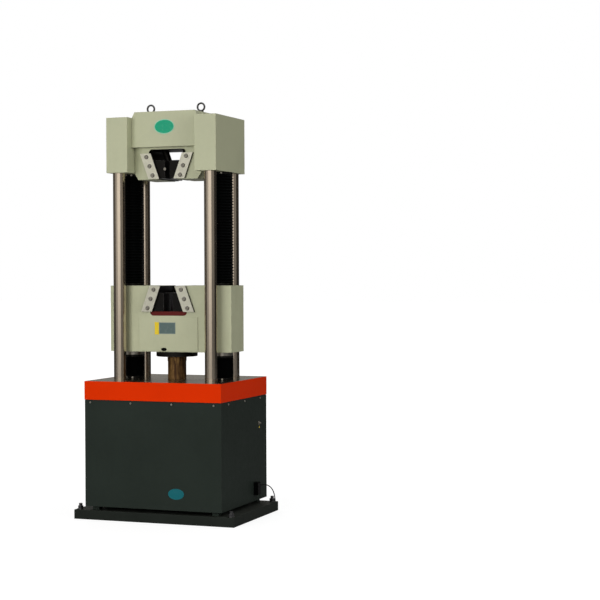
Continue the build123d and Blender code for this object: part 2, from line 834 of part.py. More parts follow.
def eyebolts():
    """Lifting eye on a round collar at each end of the hood's top."""
    eyes = []
    z0 = crosshead_bottom + hood_top_rise
    for _, side in sides:
        centre = z0 + eyebolt_collar_height + eyebolt_ring_radius + eyebolt_wire_radius - eyebolt_sunk
        eye = rod(side * eyebolt_x, 0, z0, z0 + eyebolt_collar_height, eyebolt_collar_radius)
        eye = chamfer(eye.edges().filter_by(GeomType.CIRCLE).group_by(Axis.Z)[-1], 2)
        section = Pos(eyebolt_ring_radius, 0) * RegularPolygon(eyebolt_wire_radius, eyebolt_wire_sides)
        eye += Pos(side * eyebolt_x, 0, centre) * Rot(90, 0, 0) * revolve(Plane.XZ * section, Axis.Z)
        eyes.append(eye)
    return Compound(children=eyes)


# Compression tools

def compression_pillar():
    """Pillar on the table, and the hardened head on it."""
    pillar = rod(0, 0, table_seat, table_top + pillar_height, pillar_radius)
    pillar = chamfer(pillar.edges().filter_by(GeomType.CIRCLE), 1)
    head = rod(0, 0, table_top + pillar_height, pillar_top, pillar_head_radius)
    head = chamfer(head.edges().filter_by(GeomType.CIRCLE).group_by(Axis.Z)[-1], 2)
    return Compound(children=[pillar, head])


def upper_platen():
    disc = rod(0, 0, pillar_top + platen_gap, middle_bottom, platen_radius)
    return chamfer(disc.edges().filter_by(GeomType.CIRCLE).group_by(Axis.Z)[0], platen_edge_chamfer)


# Middle crosshead

def middle_crosshead():
    """Cast beam with tapered ends, a mouth from above, and a pocket below it for the jaw cylinders."""
    half = middle_width / 2
    middle_x = middle_centre_half_width
    middle_y = middle_centre_half_depth
    end_y = middle_end_half_depth
    plan = outline([(-middle_x, -middle_y), (middle_x, -middle_y), (half, -end_y), (half, end_y),
                    (middle_x, middle_y), (-middle_x, middle_y), (-half, end_y), (-half, -end_y)])
    beam = extrude(Plane.XY.offset(middle_bottom) * plan, amount=middle_height)
    beam -= middle(front_prism(mouth_outline(), middle_centre_half_depth + 1))
    pocket_top = middle_top - middle_web_top
    pocket = outline([
        (-middle_pocket_half_width, middle_bottom + middle_pocket_bottom),
        (middle_pocket_half_width, middle_bottom + middle_pocket_bottom),
        (middle_pocket_half_width, pocket_top), (-middle_pocket_half_width, pocket_top)])
    beam -= front_prism(pocket, middle_centre_half_depth + 1)
    for _, side in sides:
        beam -= middle(jaw_rod(side, jaw_rod_radius + rod_gap, mouth_height - 10, middle_web_top + 20))
        beam -= rod(side * screw_x, 0, middle_bottom - 1, middle_bottom + screw_nut_length + 2,
                    screw_nut_radius + running_fit)
        beam -= rod(side * screw_x, 0, middle_bottom, middle_top + 1, screw_radius + middle_screw_gap)
    return beam


def middle_covers():
    """Plate over the pocket, front and back."""
    plates = []
    z0 = middle_bottom + access_cover_lift
    for face in (-1, 1):
        y0 = face * middle_centre_half_depth
        ys = sorted((y0, y0 + face * access_cover_thickness))
        plate = box(-access_cover_half_width, access_cover_half_width, *ys, z0, z0 + access_cover_height)
        plates.append(fillet(plate.edges().filter_by(Axis.Y), cover_edge_radius))
    return Compound(children=plates)


def middle_jaw_cylinders():
    return Compound(children=[middle(jaw_cylinder(side, middle_web_top)) for _, side in sides])


def rod_plate():
    """Block that fills the wide end of the middle mouth, with a slanted hole for each jaw rod."""
    z0 = middle_top - mouth_height
    y = middle_centre_half_depth - rod_plate_inset_y
    x = middle_centre_half_width
    plate = middle(front_prism(mouth_outline(rod_plate_side_gap), y))
    plate &= box(-x, x, -y - 1, y + 1, z0, z0 + rod_plate_thickness)
    radius = jaw_rod_radius + rod_plate_hole_gap
    for _, side in sides:
        plate -= middle(jaw_rod(side, radius, mouth_height - 2 * rod_plate_thickness, mouth_height + radius))
    return plate


def screw_nuts():
    """Flanged nut in each end of the middle crosshead."""
    nuts = []
    for _, side in sides:
        x = side * screw_x
        body = rod(x, 0, middle_bottom, middle_bottom + screw_nut_length, screw_nut_radius)
        body += rod(x, 0, middle_bottom - nut_flange_height, middle_bottom, nut_flange_radius)
        body -= rod(x, 0, middle_bottom - nut_flange_height - 1, middle_bottom + screw_nut_length + 1,
                    screw_radius + running_fit)
        nuts.append(body)
    return Compound(children=nuts)


# Lead screws and their sprockets

def lead_screw(side):
    """Screw with its journal down through the bearing and the bed, its thrust collar and its sprocket."""
    x = side * screw_x
    collar = bed_top + bearing_height + slide_gap
    screw = rod(x, 0, collar, crosshead_bottom - screw_top_gap, screw_radius)
    screw = chamfer(screw.edges().filter_by(GeomType.CIRCLE).group_by(Axis.Z)[-1], 4)
    screw += rod(x, 0, collar, collar + thrust_collar_height, thrust_collar_radius)
    screw += rod(x, 0, plate_thickness + screw_foot_gap, collar + 1, screw_journal_radius)
    wheel = Pos(x, 0, 0) * sprocket(screw_sprocket_teeth, screw_journal_radius)
    return Compound(children=[screw, wheel])


def motor_sprocket():
    """Small sprocket on the gearbox shaft, which goes up through the bed's lug."""
    wheel = sprocket(motor_sprocket_teeth, motor_shaft_radius - 1)
    shaft_top = bed_bottom + motor_lug_thickness + motor_foot_height / 2 - 2
    wheel += rod(0, 0, plate_thickness + screw_foot_gap, shaft_top, motor_shaft_radius)
    return Pos(0, motor_y, 0) * wheel


# Bellows and their end rings

upper_ring_bottom = crosshead_bottom - bellows_ring_height
lower_nut_bottom = middle_bottom - nut_flange_height


def pleated_bellows(side, z0, z1):
    """Bellows drawn out: V-shaped pleats outside and a plain bore."""
    count = max(1, round((z1 - z0) / bellows_pleat_pitch))
    pitch = (z1 - z0) / count
    valley = bellows_radius - bellows_pleat_depth
    profile = [(bellows_bore, z0)]
    for k in range(count):
        profile += [(valley, z0 + k * pitch), (bellows_radius, z0 + (k + 0.5) * pitch)]
    profile += [(valley, z1), (bellows_bore, z1)]
    return Pos(side * screw_x, 0, 0) * revolve(Plane.XZ * outline(profile), Axis.Z)


def folded_bellows(side, z0, z1):
    """Bellows pressed together, whose pleats lie flat on each other."""
    return tube(side * screw_x, 0, z0, z1, bellows_radius, bellows_bore)


def ring(side, z0, z1):
    return tube(side * screw_x, 0, z0, z1, bellows_ring_radius, bellows_bore)


def frame_bellows_rings():
    """The lower rings stand in the table's recesses."""
    rings = []
    for _, side in sides:
        rings.append(ring(side, table_seat, table_top + bellows_ring_height))
        rings.append(ring(side, upper_ring_bottom, crosshead_bottom))
    return Compound(children=rings)


def middle_bellows_rings():
    rings = []
    for _, side in sides:
        rings.append(ring(side, middle_top, middle_top + bellows_ring_height))
        rings.append(ring(side, lower_nut_bottom - bellows_ring_height, lower_nut_bottom))
    return Compound(children=rings)


def main():
    save(base_plate(), "base_plate")
    save(anchor_bolts(), "anchor_bolts")
    save(machine_bed(), "machine_bed")
    save(screw_bearings(), "screw_bearings")
    save(cylinder_barrel(), "cylinder_barrel")
    save(cylinder_head(), "cylinder_head")
    save(drive_motor(), "drive_motor")
    save(drive_chain(), "drive_chain")
    save(enclosure_frame(), "enclosure_frame")
    save(wide_panel(-1), "front_panel")
    save(wide_panel(1), "rear_panel")
    save(side_panel(-1), "left_panel")
    save(side_panel(1), "right_panel")
    save(oil_port_block(), "oil_port_block")
    save(connector_box(), "connector_box")
    save(cable_gland(), "cable_gland")
    save(signal_cable(), "signal_cable")
    save(cable_coil(), "cable_coil")
    save(cable_plug(), "cable_plug")
    save(ram(), "ram")
    save(ram_seat(), "ram_seat")
    save(work_table(), "work_table")
    save(table_skirt(), "table_skirt")
    for row, sy in (("front", -1), ("rear", 1)):
        for name, sx in sides:
            save(column(sx, sy), f"{row}_{name}_column")
    save(column_nuts(), "column_nuts")
    save(upper_crosshead(), "upper_crosshead")
    save(top_hood(), "top_hood")
    upper_plates = [upper(p) for p in guide_plates(throat_half_depth)]
    save(Compound(children=upper_plates), "upper_guide_plates")
    save(upper_jaw_cylinders(), "upper_jaw_cylinders")
    save(eyebolts(), "eyebolts")
    save(compression_pillar(), "compression_pillar")
    save(frame_bellows_rings(), "frame_bellows_rings")
    save(middle_crosshead(), "middle_crosshead")
    save(middle_covers(), "middle_covers")
    lower_plates = [middle(p) for p in guide_plates(middle_centre_half_depth)]
    save(Compound(children=lower_plates), "middle_guide_plates")
    save(middle_jaw_cylinders(), "middle_jaw_cylinders")
    save(rod_plate(), "rod_plate")
    save(screw_nuts(), "screw_nuts")
    save(upper_platen(), "upper_platen")
    save(middle_bellows_rings(), "middle_bellows_rings")
    save(motor_sprocket(), "motor_sprocket")
    for name, side in sides:
        save(end_cover(side), f"{name}_end_cover")
        save(lead_screw(side), f"{name}_lead_screw")
        save(upper(jaw(side, throat_half_depth, upper_web_top)), f"upper_{name}_jaw")
        save(upper(jaw_insert(side)), f"upper_{name}_insert")
        save(middle_open(side, jaw(side, middle_centre_half_depth, middle_web_top)), f"middle_{name}_jaw")
        save(middle_open(side, jaw_insert(side)), f"middle_{name}_insert")
        drawn = pleated_bellows(side, middle_top + bellows_ring_height, upper_ring_bottom)
        folded = folded_bellows(side, table_top + bellows_ring_height, lower_nut_bottom - bellows_ring_height)
        save(drawn, f"upper_{name}_bellows")
        save(folded, f"lower_{name}_bellows")


main()
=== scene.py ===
import math

import bmesh
import bpy
from bpy.props import FloatProperty, FloatVectorProperty, IntProperty, PointerProperty
from mathutils import Matrix, Vector


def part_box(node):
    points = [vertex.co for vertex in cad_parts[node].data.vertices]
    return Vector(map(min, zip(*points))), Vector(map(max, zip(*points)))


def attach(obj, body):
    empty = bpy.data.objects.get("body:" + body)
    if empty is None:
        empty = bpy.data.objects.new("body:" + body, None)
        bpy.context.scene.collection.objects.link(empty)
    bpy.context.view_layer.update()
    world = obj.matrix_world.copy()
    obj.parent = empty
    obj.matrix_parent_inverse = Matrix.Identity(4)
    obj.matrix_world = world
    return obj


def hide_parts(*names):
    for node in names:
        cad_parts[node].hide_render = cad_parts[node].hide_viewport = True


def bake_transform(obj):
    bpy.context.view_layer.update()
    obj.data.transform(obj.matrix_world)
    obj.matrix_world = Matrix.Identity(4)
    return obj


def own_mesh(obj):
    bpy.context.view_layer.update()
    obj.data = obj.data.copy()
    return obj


bl_info = {
    "name": "Testing machine looks",
    "version": (1, 0, 0),
    "blender": (4, 5, 0),
    "location": "View3D > Sidebar > Machine",
    "description": "Finishes, bellows, screws, badges and cable of a universal testing machine's load frame",
    "category": "Object",
}

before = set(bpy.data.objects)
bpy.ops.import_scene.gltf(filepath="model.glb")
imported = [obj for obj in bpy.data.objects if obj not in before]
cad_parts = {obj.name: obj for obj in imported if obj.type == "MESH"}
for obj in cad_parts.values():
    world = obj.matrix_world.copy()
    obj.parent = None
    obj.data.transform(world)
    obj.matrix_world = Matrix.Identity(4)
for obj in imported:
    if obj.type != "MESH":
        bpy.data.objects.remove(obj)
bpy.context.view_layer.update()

MM = 0.001
FULL_TURN = 2 * math.pi

# Wedge mouths of both crossheads, with their guide plates
WEDGE_SLOPE = math.tan(math.radians(20))
MOUTH_HALF_WIDTH = 61.8 * MM
MOUTH_HEIGHT = 174.5 * MM
MOUTH_HALF_DEPTH = {"upper": 122 * MM, "middle": 117 * MM}
GUIDE_INSET = 3 * MM
GUIDE_LENGTH = 148 * MM
GUIDE_WIDTH = 64 * MM
GUIDE_OVERLAP = 17 * MM
GUIDE_SCREW_PITCH = 57 * MM
GUIDE_HOLE_RADIUS = 8.5 * MM

# Linear tones that finishes share
GREY = (0.5, 0.5, 0.5, 1)
# Lighter edge tones: partly wear, partly a painted highlight along sharp edges
PALE_WORN_LIT_EDGE = (0.62, 0.62, 0.52)
BRIGHT_WORN_LIT_EDGE = (0.75, 0.73, 0.70)
# Painted shade, near black, on the walls inside the wedge mouths
MOUTH_SHADE_BLACK = (0.006, 0.005, 0.005)
# Painted shade, near black, on the sides of the guide plates
GUIDE_SIDE_SHADE = (0.02, 0.016, 0.008)

NUMBER, COUNT, COLOUR, VECTOR, MATERIAL, GEOMETRY = (
    "NodeSocket" + kind for kind in ("Float", "Int", "Color", "Vector", "Material", "Geometry"))


def tone(red, green, blue):
    """Linear colour of an 8-bit screen colour."""
    channels = [value / 255 for value in (red, green, blue)]
    return tuple(c / 12.92 if c <= 0.04045 else ((c + 0.055) / 1.055) ** 2.4 for c in channels)


def colour(name, description, *rgb):
    return FloatVectorProperty(name=name, description=description, subtype="COLOR", size=3, min=0, max=1,
                               default=tone(*rgb))


def length(name, description, millimetres):
    return FloatProperty(name=name, description=description, unit="LENGTH", subtype="DISTANCE",
                         default=millimetres * MM, precision=4)


def amount(name, description, default):
    return IntProperty(name=name, description=description, default=default, min=1)


def wattage(name, description, watts):
    return FloatProperty(name=name, description=description, subtype="POWER", default=watts, min=0)


# Settings

class MACHINE_PG_colours(bpy.types.PropertyGroup):
    """Colours of the machine's finishes"""

    beige: colour("Beige paint", "Crossheads, covers and hood", 183, 185, 154)
    orange: colour("Orange paint", "Skirt round the table", 224, 50, 0)
    charcoal: colour("Charcoal paint", "Enclosure panels", 39, 46, 41)
    base: colour("Base paint", "Base plate, bed and inner castings", 35, 39, 35)
    ground: colour("Ground steel", "Table top and machined faces", 156, 149, 128)
    chrome: colour("Chromed steel", "Columns, ram and screws", 214, 200, 182)
    guide: colour("Guide steel", "Guide plates of the mouths", 236, 234, 216)
    # Black oxide also colours the dark rings of painted shade round the guide screws
    oxide: colour("Black oxide", "Jaws, platen, rings and washers", 20, 19, 17)
    hardened: colour("Hardened steel", "Jaw inserts, anchor bolts and eyebolts", 92, 92, 94)
    rust: colour("Rusted steel", "Pillar's deep tone", 70, 44, 22)
    rust_light: colour("Rusted steel, light", "Pillar's worn streaks", 182, 140, 80)
    primer: colour("Red primer", "Floor of the middle mouth", 88, 16, 10)
    zinc: colour("Zinc plate", "Nuts, bearings and screw heads", 176, 172, 162)
    bellows: colour("Bellows fabric", "Coated fabric of the bellows", 3, 4, 4)
    badge_top: colour("Upper badge", "Enamel of the oval on the hood", 2, 156, 116)
    badge_low: colour("Lower badge", "Enamel of the oval on the front panel", 2, 98, 106)
    badge_rim: colour("Badge rim", "Rim of the upper oval", 148, 208, 178)
    plate: colour("Plain plate", "Blue-grey face of the bare plate", 86, 104, 101)
    plate_rim: colour("Plate border", "Border of the bare plate", 112, 128, 126)
    yellow: colour("Yellow", "Bare strip and the ground tag", 226, 196, 34)
    jacket: colour("Cable jacket", "Signal cable and its relief", 24, 24, 25)
    plastic: colour("Black plastic", "Connector box, gland and oval plug", 9, 9, 9)
    chain: colour("Oiled chain", "Links and rollers of the drive chain", 96, 84, 66)


class MACHINE_PG_fittings(bpy.types.PropertyGroup):
    """Sizes of the small fittings"""

    cap_radius: length("Cap screw radius", "Head of the guide plates' screws", 10.5)
    cap_height: length("Cap screw height", "Head over the guide plate", 9)
    # A dark ring of painted shade round each head, for the shadow of its counterbore
    cap_shade_ring: length("Cap washer radius", "Dark ring under each head", 12.5)
    cap_socket: length("Socket radius", "Hexagon socket, over its corners", 6)
    pan_radius: length("Panel screw radius", "Head of the enclosure's screws", 5.8)
    pan_height: length("Panel screw height", "Head over the panel", 3.2)
    badge_top_width: length("Upper badge width", "Oval on the hood", 127)
    badge_top_height: length("Upper badge height", "Oval on the hood", 85)
    badge_low_width: length("Lower badge width", "Oval on the front panel", 98)
    badge_low_height: length("Lower badge height", "Oval on the front panel", 62)
    badge_thickness: length("Badge thickness", "Pressed sheet of both ovals", 1.6)
    badge_border: length("Badge border", "Both sides of the raised rim together", 7)
    pleat_pitch: length("Pleat pitch", "Height of one fold of the bellows at rest", 16.7)
    pleat_depth: length("Pleat depth", "From the outer to the inner folds", 12)
    pleat_reach: length("Pleat reach", "Of the outer folds past the plain tube of the CAD", 7)
    bellows_wall: length("Bellows wall", "Coated cloth of the bellows", 0.9)
    lower_pleats: amount("Lower pleats", "Folds of each short bellows", 20)


class MACHINE_PG_cable(bpy.types.PropertyGroup):
    """Signal cable"""

    diameter: length("Diameter", "Over the jacket", 6)
    real_length: length("Length", "From the gland to the plug, along its middle", 1745)
    turns: amount("Turns", "Turns of the coil in each of its two layers", 3)
    spacing: length("Spacing", "Between turns and between layers", 6.1)
    clearance: length("Clearance", "Of the jacket over the floor", 0.1)


class MACHINE_PG_stage(bpy.types.PropertyGroup):
    """Studio"""

    key_power: wattage("Key light", "Power of the large light at the front left", 335)
    fill_power: wattage("Fill light", "Power of the lights at the front right and rear", 138)
    ambient: FloatProperty(name="Ambient", description="Light from all round", default=0.38, min=0)
    focal_length: FloatProperty(name="Focal length", description="Lens on a 36 mm sensor", unit="CAMERA",
                                default=93.1, min=1)


def setting_names(group):
    return [key for key in group.bl_rna.properties.keys() if key not in ("rna_type", "name")]


# Node helpers

class Graph:
    """Node tree with short calls. Inputs go by name or number, as a value or as another node's socket."""

    def __init__(self, tree, given=None, out=None):
        self.tree, self.given, self.out = tree, given, out

    def put(self, value, socket):
        if isinstance(value, bpy.types.NodeSocket):
            self.tree.links.new(value, socket)
        elif socket.type == "RGBA" and len(value) == 3:
            socket.default_value = (*value, 1)
        else:
            socket.default_value = value

    def add(self, kind, inputs=None, **settings):
        """Adds a node and returns it."""
        made = self.tree.nodes.new(kind)
        for key, value in settings.items():
            setattr(made, key, value)
        for key, value in (inputs or {}).items():
            self.put(value, made.inputs[key])
        return made

    def node(self, kind, inputs=None, **settings):
        """Adds a node and returns its outputs."""
        return self.add(kind, inputs, **settings).outputs

    def give(self, **results):
        """Links the results to the group's outputs."""
        for key, value in results.items():
            self.put(value, self.out.inputs[key])

    def maths(self, operation, a, b=0.0, clamp=False):
        return self.node("ShaderNodeMath", {0: a, 1: b}, operation=operation, use_clamp=clamp)[0]

    def times(self, a, b, clamp=False):
        return self.maths("MULTIPLY", a, b, clamp)

    def plus(self, a, b, clamp=False):
        return self.maths("ADD", a, b, clamp)

    def minus(self, a, b):
        return self.maths("SUBTRACT", a, b)

    def blend(self, factor, a, b, mode="MIX"):
        """Mixes two colours; the numbers are the mix node's colour sockets."""
        return self.node("ShaderNodeMix", {0: factor, 6: a, 7: b}, data_type="RGBA", blend_type=mode)[2]

    def remap(self, value, low, high, to_low=0.0, to_high=1.0):
        return self.node("ShaderNodeMapRange", {"Value": value, "From Min": low, "From Max": high,
                                                "To Min": to_low, "To Max": to_high})[0]

    def noise(self, vector, scale, detail=2.0, roughness=0.5):
        return self.node("ShaderNodeTexNoise", {"Vector": vector, "Scale": scale, "Detail": detail,
                                                "Roughness": roughness})[0]

    def stretched(self, vector, factors):
        return self.node("ShaderNodeVectorMath", {0: vector, 1: factors}, operation="MULTIPLY")[0]

    def toned(self, base, value):
        return self.node("ShaderNodeHueSaturation", {"Value": value, "Color": base})[0]

    def place(self):
        return self.node("ShaderNodeTexCoord")["Object"]

    def axis(self, vector, name):
        return self.node("ShaderNodeSeparateXYZ", {0: vector})[name]

    def use(self, group, inputs):
        return self.node("ShaderNodeGroup", inputs, node_tree=group)

    def lifted(self, geometry, height):
        up = self.node("ShaderNodeCombineXYZ", {"Z": height})[0]
        return self.node("GeometryNodeTransform", {"Geometry": geometry, "Translation": up})[0]

    def finish(self, geometry):
        """Every geometry group ends the same way: instances are made real and get their material."""
        real = self.node("GeometryNodeRealizeInstances", {0: geometry})[0]
        self.give(Geometry=self.node("GeometryNodeSetMaterial", {
            "Geometry": real, "Material": self.given["Material"]})[0])


def new_group(name, tree_type, inputs, outputs):
    """Empty group as a graph. Each input has its default or, in a geometry group, its kind."""
    tree = bpy.data.node_groups.new(name, tree_type)
    for label, default in inputs.items():
        typed = isinstance(default, str)
        size = len(default) if isinstance(default, tuple) else 1
        socket = tree.interface.new_socket(label, in_out="INPUT", socket_type=(
            default if typed else {1: NUMBER, 3: VECTOR, 4: COLOUR}[size]))
        if not typed:
            socket.default_value = default
    for label in outputs:
        kind = {"Color": COLOUR, "Normal": VECTOR, "Geometry": GEOMETRY}.get(label, NUMBER)
        tree.interface.new_socket(label, in_out="OUTPUT", socket_type=kind)
    return Graph(tree, tree.nodes.new("NodeGroupInput").outputs, tree.nodes.new("NodeGroupOutput"))


def shader_group(name, inputs, outputs):
    """Group of a shared shader effect."""
    return new_group(name, "ShaderNodeTree", inputs, outputs)


def geometry_group(name, inputs):
    """Group that turns its carrier's points into a piece in one material."""
    inputs = {"Geometry": GEOMETRY, **inputs, "Material": MATERIAL}
    return new_group(name, "GeometryNodeTree", inputs, ("Geometry",))


# Shared shader effects

def edge_group():
    """Rounds the look of sharp edges and finds them: a mask that is 1 on an edge, and the rounded normal. The
    mask places lighter edges, partly wear and partly a painted highlight.
    """
    g = shader_group("edge_wear", {"Radius": 0.002, "Break Up": 0.5}, ("Mask", "Normal"))
    rounded = g.node("ShaderNodeBevel", {"Radius": g.given["Radius"]}, samples=4)[0]
    plain = g.node("ShaderNodeNewGeometry")["True Normal"]
    agree = g.node("ShaderNodeVectorMath", {0: rounded, 1: plain}, operation="DOT_PRODUCT")["Value"]
    edge = g.remap(agree, 0.999, 0.85)
    patches = g.remap(g.noise(g.place(), 60.0, 4.0), 0.35, 0.65)
    broken = g.given["Break Up"]
    worn_and_lit = g.plus(g.minus(1.0, broken), g.times(patches, broken))
    g.give(Mask=g.times(edge, worn_and_lit, clamp=True), Normal=rounded)
    return g.tree


def film_group():
    """Paint film: slow drift of tone, faint mottling, orange peel and upright stains."""
    g = shader_group("paint_film", {"Color": GREY, "Drift": 0.06, "Peel": 0.3, "Peel Scale": 300.0,
                                    "Roughness": 0.4, "Grime": 0.1}, ("Color", "Roughness", "Height"))
    place, given = g.place(), g.given
    slow = g.remap(g.noise(place, 3.0, 3.0), 0.3, 0.7, -1.0)
    fine = g.remap(g.noise(place, 45.0, 5.0, 0.6), 0.3, 0.7, -1.0)
    drift = g.times(g.plus(slow, g.times(fine, 0.4)), given["Drift"])
    toned = g.toned(given["Color"], g.plus(1.0, drift))
    stains = g.remap(g.noise(g.stretched(place, (9.0, 9.0, 2.0)), 1.0, 6.0, 0.65), 0.5, 0.75)
    dirty = g.times(stains, given["Grime"])
    grimy = g.blend(1.0, toned, (0.45, 0.40, 0.33), "MULTIPLY")
    rough = g.plus(given["Roughness"], g.times(fine, 0.05))
    g.give(Color=g.blend(dirty, toned, grimy), Roughness=g.plus(rough, g.times(dirty, 0.3), clamp=True),
           Height=g.times(g.noise(place, given["Peel Scale"], 2.0), given["Peel"]))
    return g.tree


def grain_group():
    """Directional machining marks: streaks stretched along one way, and cloudy stains."""
    g = shader_group("machined_grain", {
        "Color": GREY, "Stretch": (1.0, 40.0, 40.0), "Contrast": 0.1, "Roughness": 0.3, "Stain": 0.2,
        "Stain Color": (0.1, 0.07, 0.04, 1)}, ("Color", "Roughness", "Height"))
    place, given = g.place(), g.given
    streaks = g.remap(g.noise(g.stretched(place, given["Stretch"]), 12.0, 6.0, 0.7), 0.3, 0.7, -1.0)
    toned = g.toned(given["Color"], g.plus(1.0, g.times(streaks, given["Contrast"])))
    clouds = g.remap(g.noise(place, 7.0, 5.0, 0.6), 0.45, 0.75)
    stained = g.times(clouds, given["Stain"])
    rough = g.plus(given["Roughness"], g.times(streaks, 0.06))
    g.give(Color=g.blend(stained, toned, given["Stain Color"]),
           Roughness=g.plus(rough, g.times(stained, 0.25), clamp=True), Height=streaks)
    return g.tree


def dust_group():
    """Dust that has settled on faces that look up."""
    g = shader_group("settled_dust", {"Color": GREY, "Amount": 0.3, "Dust": (0.30, 0.28, 0.25, 1)},
                     ("Color",))
    flat = g.remap(g.axis(g.node("ShaderNodeNewGeometry")["Normal"], "Z"), 0.7, 1.0)
    patchy = g.remap(g.noise(g.place(), 14.0, 6.0, 0.65), 0.35, 0.7, 0.2)
    mask = g.times(g.times(flat, patchy), g.given["Amount"], clamp=True)
    g.give(Color=g.blend(mask, g.given["Color"], g.given["Dust"]))
    return g.tree


def mouth_shade_group():
    """Mask that is 1 on the walls inside a wedge mouth, which widens one way from its narrow end; it places
    the mouth's painted shade.
    """
    g = shader_group("mouth_walls", {"Narrow End": 1.96, "Way": 1.0, "Half Width": 0.06, "Height": 0.17,
                                     "Half Depth": 0.12}, ("Mask",))
    place, given = g.place(), g.given
    across, along, height = (g.axis(place, name) for name in "XYZ")
    rise = g.times(g.minus(height, given["Narrow End"]), given["Way"])
    wall = g.plus(given["Half Width"], g.times(rise, WEDGE_SLOPE))
    mask = g.maths("LESS_THAN", g.maths("ABSOLUTE", across), g.plus(wall, 1 * MM))
    for limit in (g.maths("LESS_THAN", g.maths("ABSOLUTE", along), given["Half Depth"]),
                  g.maths("GREATER_THAN", rise, 2 * MM),
                  g.maths("LESS_THAN", rise, g.plus(given["Height"], 1 * MM))):
        mask = g.times(mask, limit)
    g.give(Mask=mask)
    return g.tree


# Materials

def new_material(name, **constants):
    """Material with its own shader; the constants are set on the shader's sockets."""
    material = bpy.data.materials.new(name)
    material.use_nodes = True
    g = Graph(material.node_tree)
    shader = g.tree.nodes["Principled BSDF"]
    for key, value in constants.items():
        g.put(value, shader.inputs[key.replace("_", " ")])
    return material, g, shader


def wire(g, shader, colour_out, roughness, height, normal=None, strength=0.1, distance=0.001):
    bump = {"Strength": strength, "Distance": distance, "Height": height}
    if normal is not None:
        bump["Normal"] = normal
    g.put(colour_out, shader.inputs["Base Color"])
    g.put(roughness, shader.inputs["Roughness"])
    g.put(g.node("ShaderNodeBump", bump)[0], shader.inputs["Normal"])


def film_on(g, groups, rgb, drift, peel, peel_scale, roughness, grime):
    return g.use(groups["film"], {"Color": rgb, "Drift": drift, "Peel": peel, "Peel Scale": peel_scale,
                                  "Roughness": roughness, "Grime": grime})


def painted(name, groups, rgb, worn_lit_edge_rgb, drift=0.04, peel=0.35, peel_scale=420.0, roughness=0.38, grime=0.08,
            dust=0.0, coat=0.05, specular=0.25, mouth=None):
    """Sprayed metal: film, lighter edges that are partly wear and partly a painted highlight, dust on top
    faces, and a painted shade, near black, on the walls inside a mouth.
    """
    material, g, shader = new_material(name, Coat_Weight=coat, Coat_Roughness=0.18,
                                       Specular_IOR_Level=specular)
    film = film_on(g, groups, rgb, drift, peel, peel_scale, roughness, grime)
    edges = g.use(groups["edge"], {"Radius": 0.002, "Break Up": 0.7})
    # Lighter edges: partly wear, partly a painted highlight
    worn_and_lit = g.blend(g.times(edges["Mask"], 0.45), film["Color"], worn_lit_edge_rgb)
    if dust:
        worn_and_lit = g.use(groups["dust"], {"Color": worn_and_lit, "Amount": dust})["Color"]
    # Painted shade, near black, on the walls inside a mouth
    if mouth:
        worn_and_lit = g.blend(g.use(groups["mouth"], mouth)["Mask"], worn_and_lit, MOUTH_SHADE_BLACK)
    wire(g, shader, worn_and_lit, film["Roughness"], film["Height"], edges["Normal"])
    return material


def machined(name, groups, rgb, stretch, contrast=0.1, roughness=0.3, stain=0.15,
             stain_rgb=(0.10, 0.07, 0.045), dust=0.0, bump=0.03, metallic=1.0, front=None):
    """Bare steel with its machining marks and lighter edges, partly wear and partly a painted highlight.
    Nearer the middle than front, its sides get a painted shade, near black.
    """
    material, g, shader = new_material(name, Metallic=metallic)
    grain = g.use(groups["grain"], {"Color": rgb, "Stretch": stretch, "Contrast": contrast,
                                    "Roughness": roughness, "Stain": stain, "Stain Color": stain_rgb})
    edges = g.use(groups["edge"], {"Radius": 0.001, "Break Up": 0.2})
    # Lighter edges: partly wear, partly a painted highlight
    bright = g.blend(g.times(edges["Mask"], 0.5), grain["Color"], BRIGHT_WORN_LIT_EDGE)
    if dust:
        bright = g.use(groups["dust"], {"Color": bright, "Amount": dust})["Color"]
    # Painted shade, near black, on every face nearer the middle than the front
    if front:
        depth = g.maths("ABSOLUTE", g.axis(g.place(), "Y"))
        bright = g.blend(g.maths("LESS_THAN", depth, front), bright, GUIDE_SIDE_SHADE)
    wire(g, shader, bright, grain["Roughness"], grain["Height"], edges["Normal"], bump, 0.0003)
    return material


def enamel(name, groups, rgb, roughness=0.25, coat=0.2):
    """Smooth enamel or printed film, for badges, plates and tags."""
    material, g, shader = new_material(name, Coat_Weight=coat, Coat_Roughness=0.08, Specular_IOR_Level=0.25)
    film = film_on(g, groups, rgb, 0.02, 0.05, 700.0, roughness, 0.0)
    wire(g, shader, film["Color"], film["Roughness"], film["Height"])
    return material


def coated_fabric(name, groups, rgb):
    """Black coated cloth of the bellows: a fine weave under a satin coating, with a little dust."""
    material, g, shader = new_material(name, Specular_IOR_Level=0.05)
    film = film_on(g, groups, rgb, 0.2, 0.0, 300.0, 0.42, 0.0)
    weave = g.node("ShaderNodeTexWave", {"Vector": g.place(), "Scale": 900.0, "Distortion": 0.6},
                   bands_direction="Z")[1]
    dusty = g.use(groups["dust"], {"Color": film["Color"], "Amount": 0.12, "Dust": (0.05, 0.05, 0.05)})
    wire(g, shader, dusty["Color"], film["Roughness"], weave, None, 0.08, 0.0002)
    return material


def moulded(name, groups, rgb, roughness=0.45, peel=0.6):
    """Moulded rubber or plastic with a fine grain."""
    material, g, shader = new_material(name, Specular_IOR_Level=0.05)
    film = film_on(g, groups, rgb, 0.15, peel, 900.0, roughness, 0.05)
    wire(g, shader, film["Color"], film["Roughness"], film["Height"], None, 0.15, 0.0005)
    return material


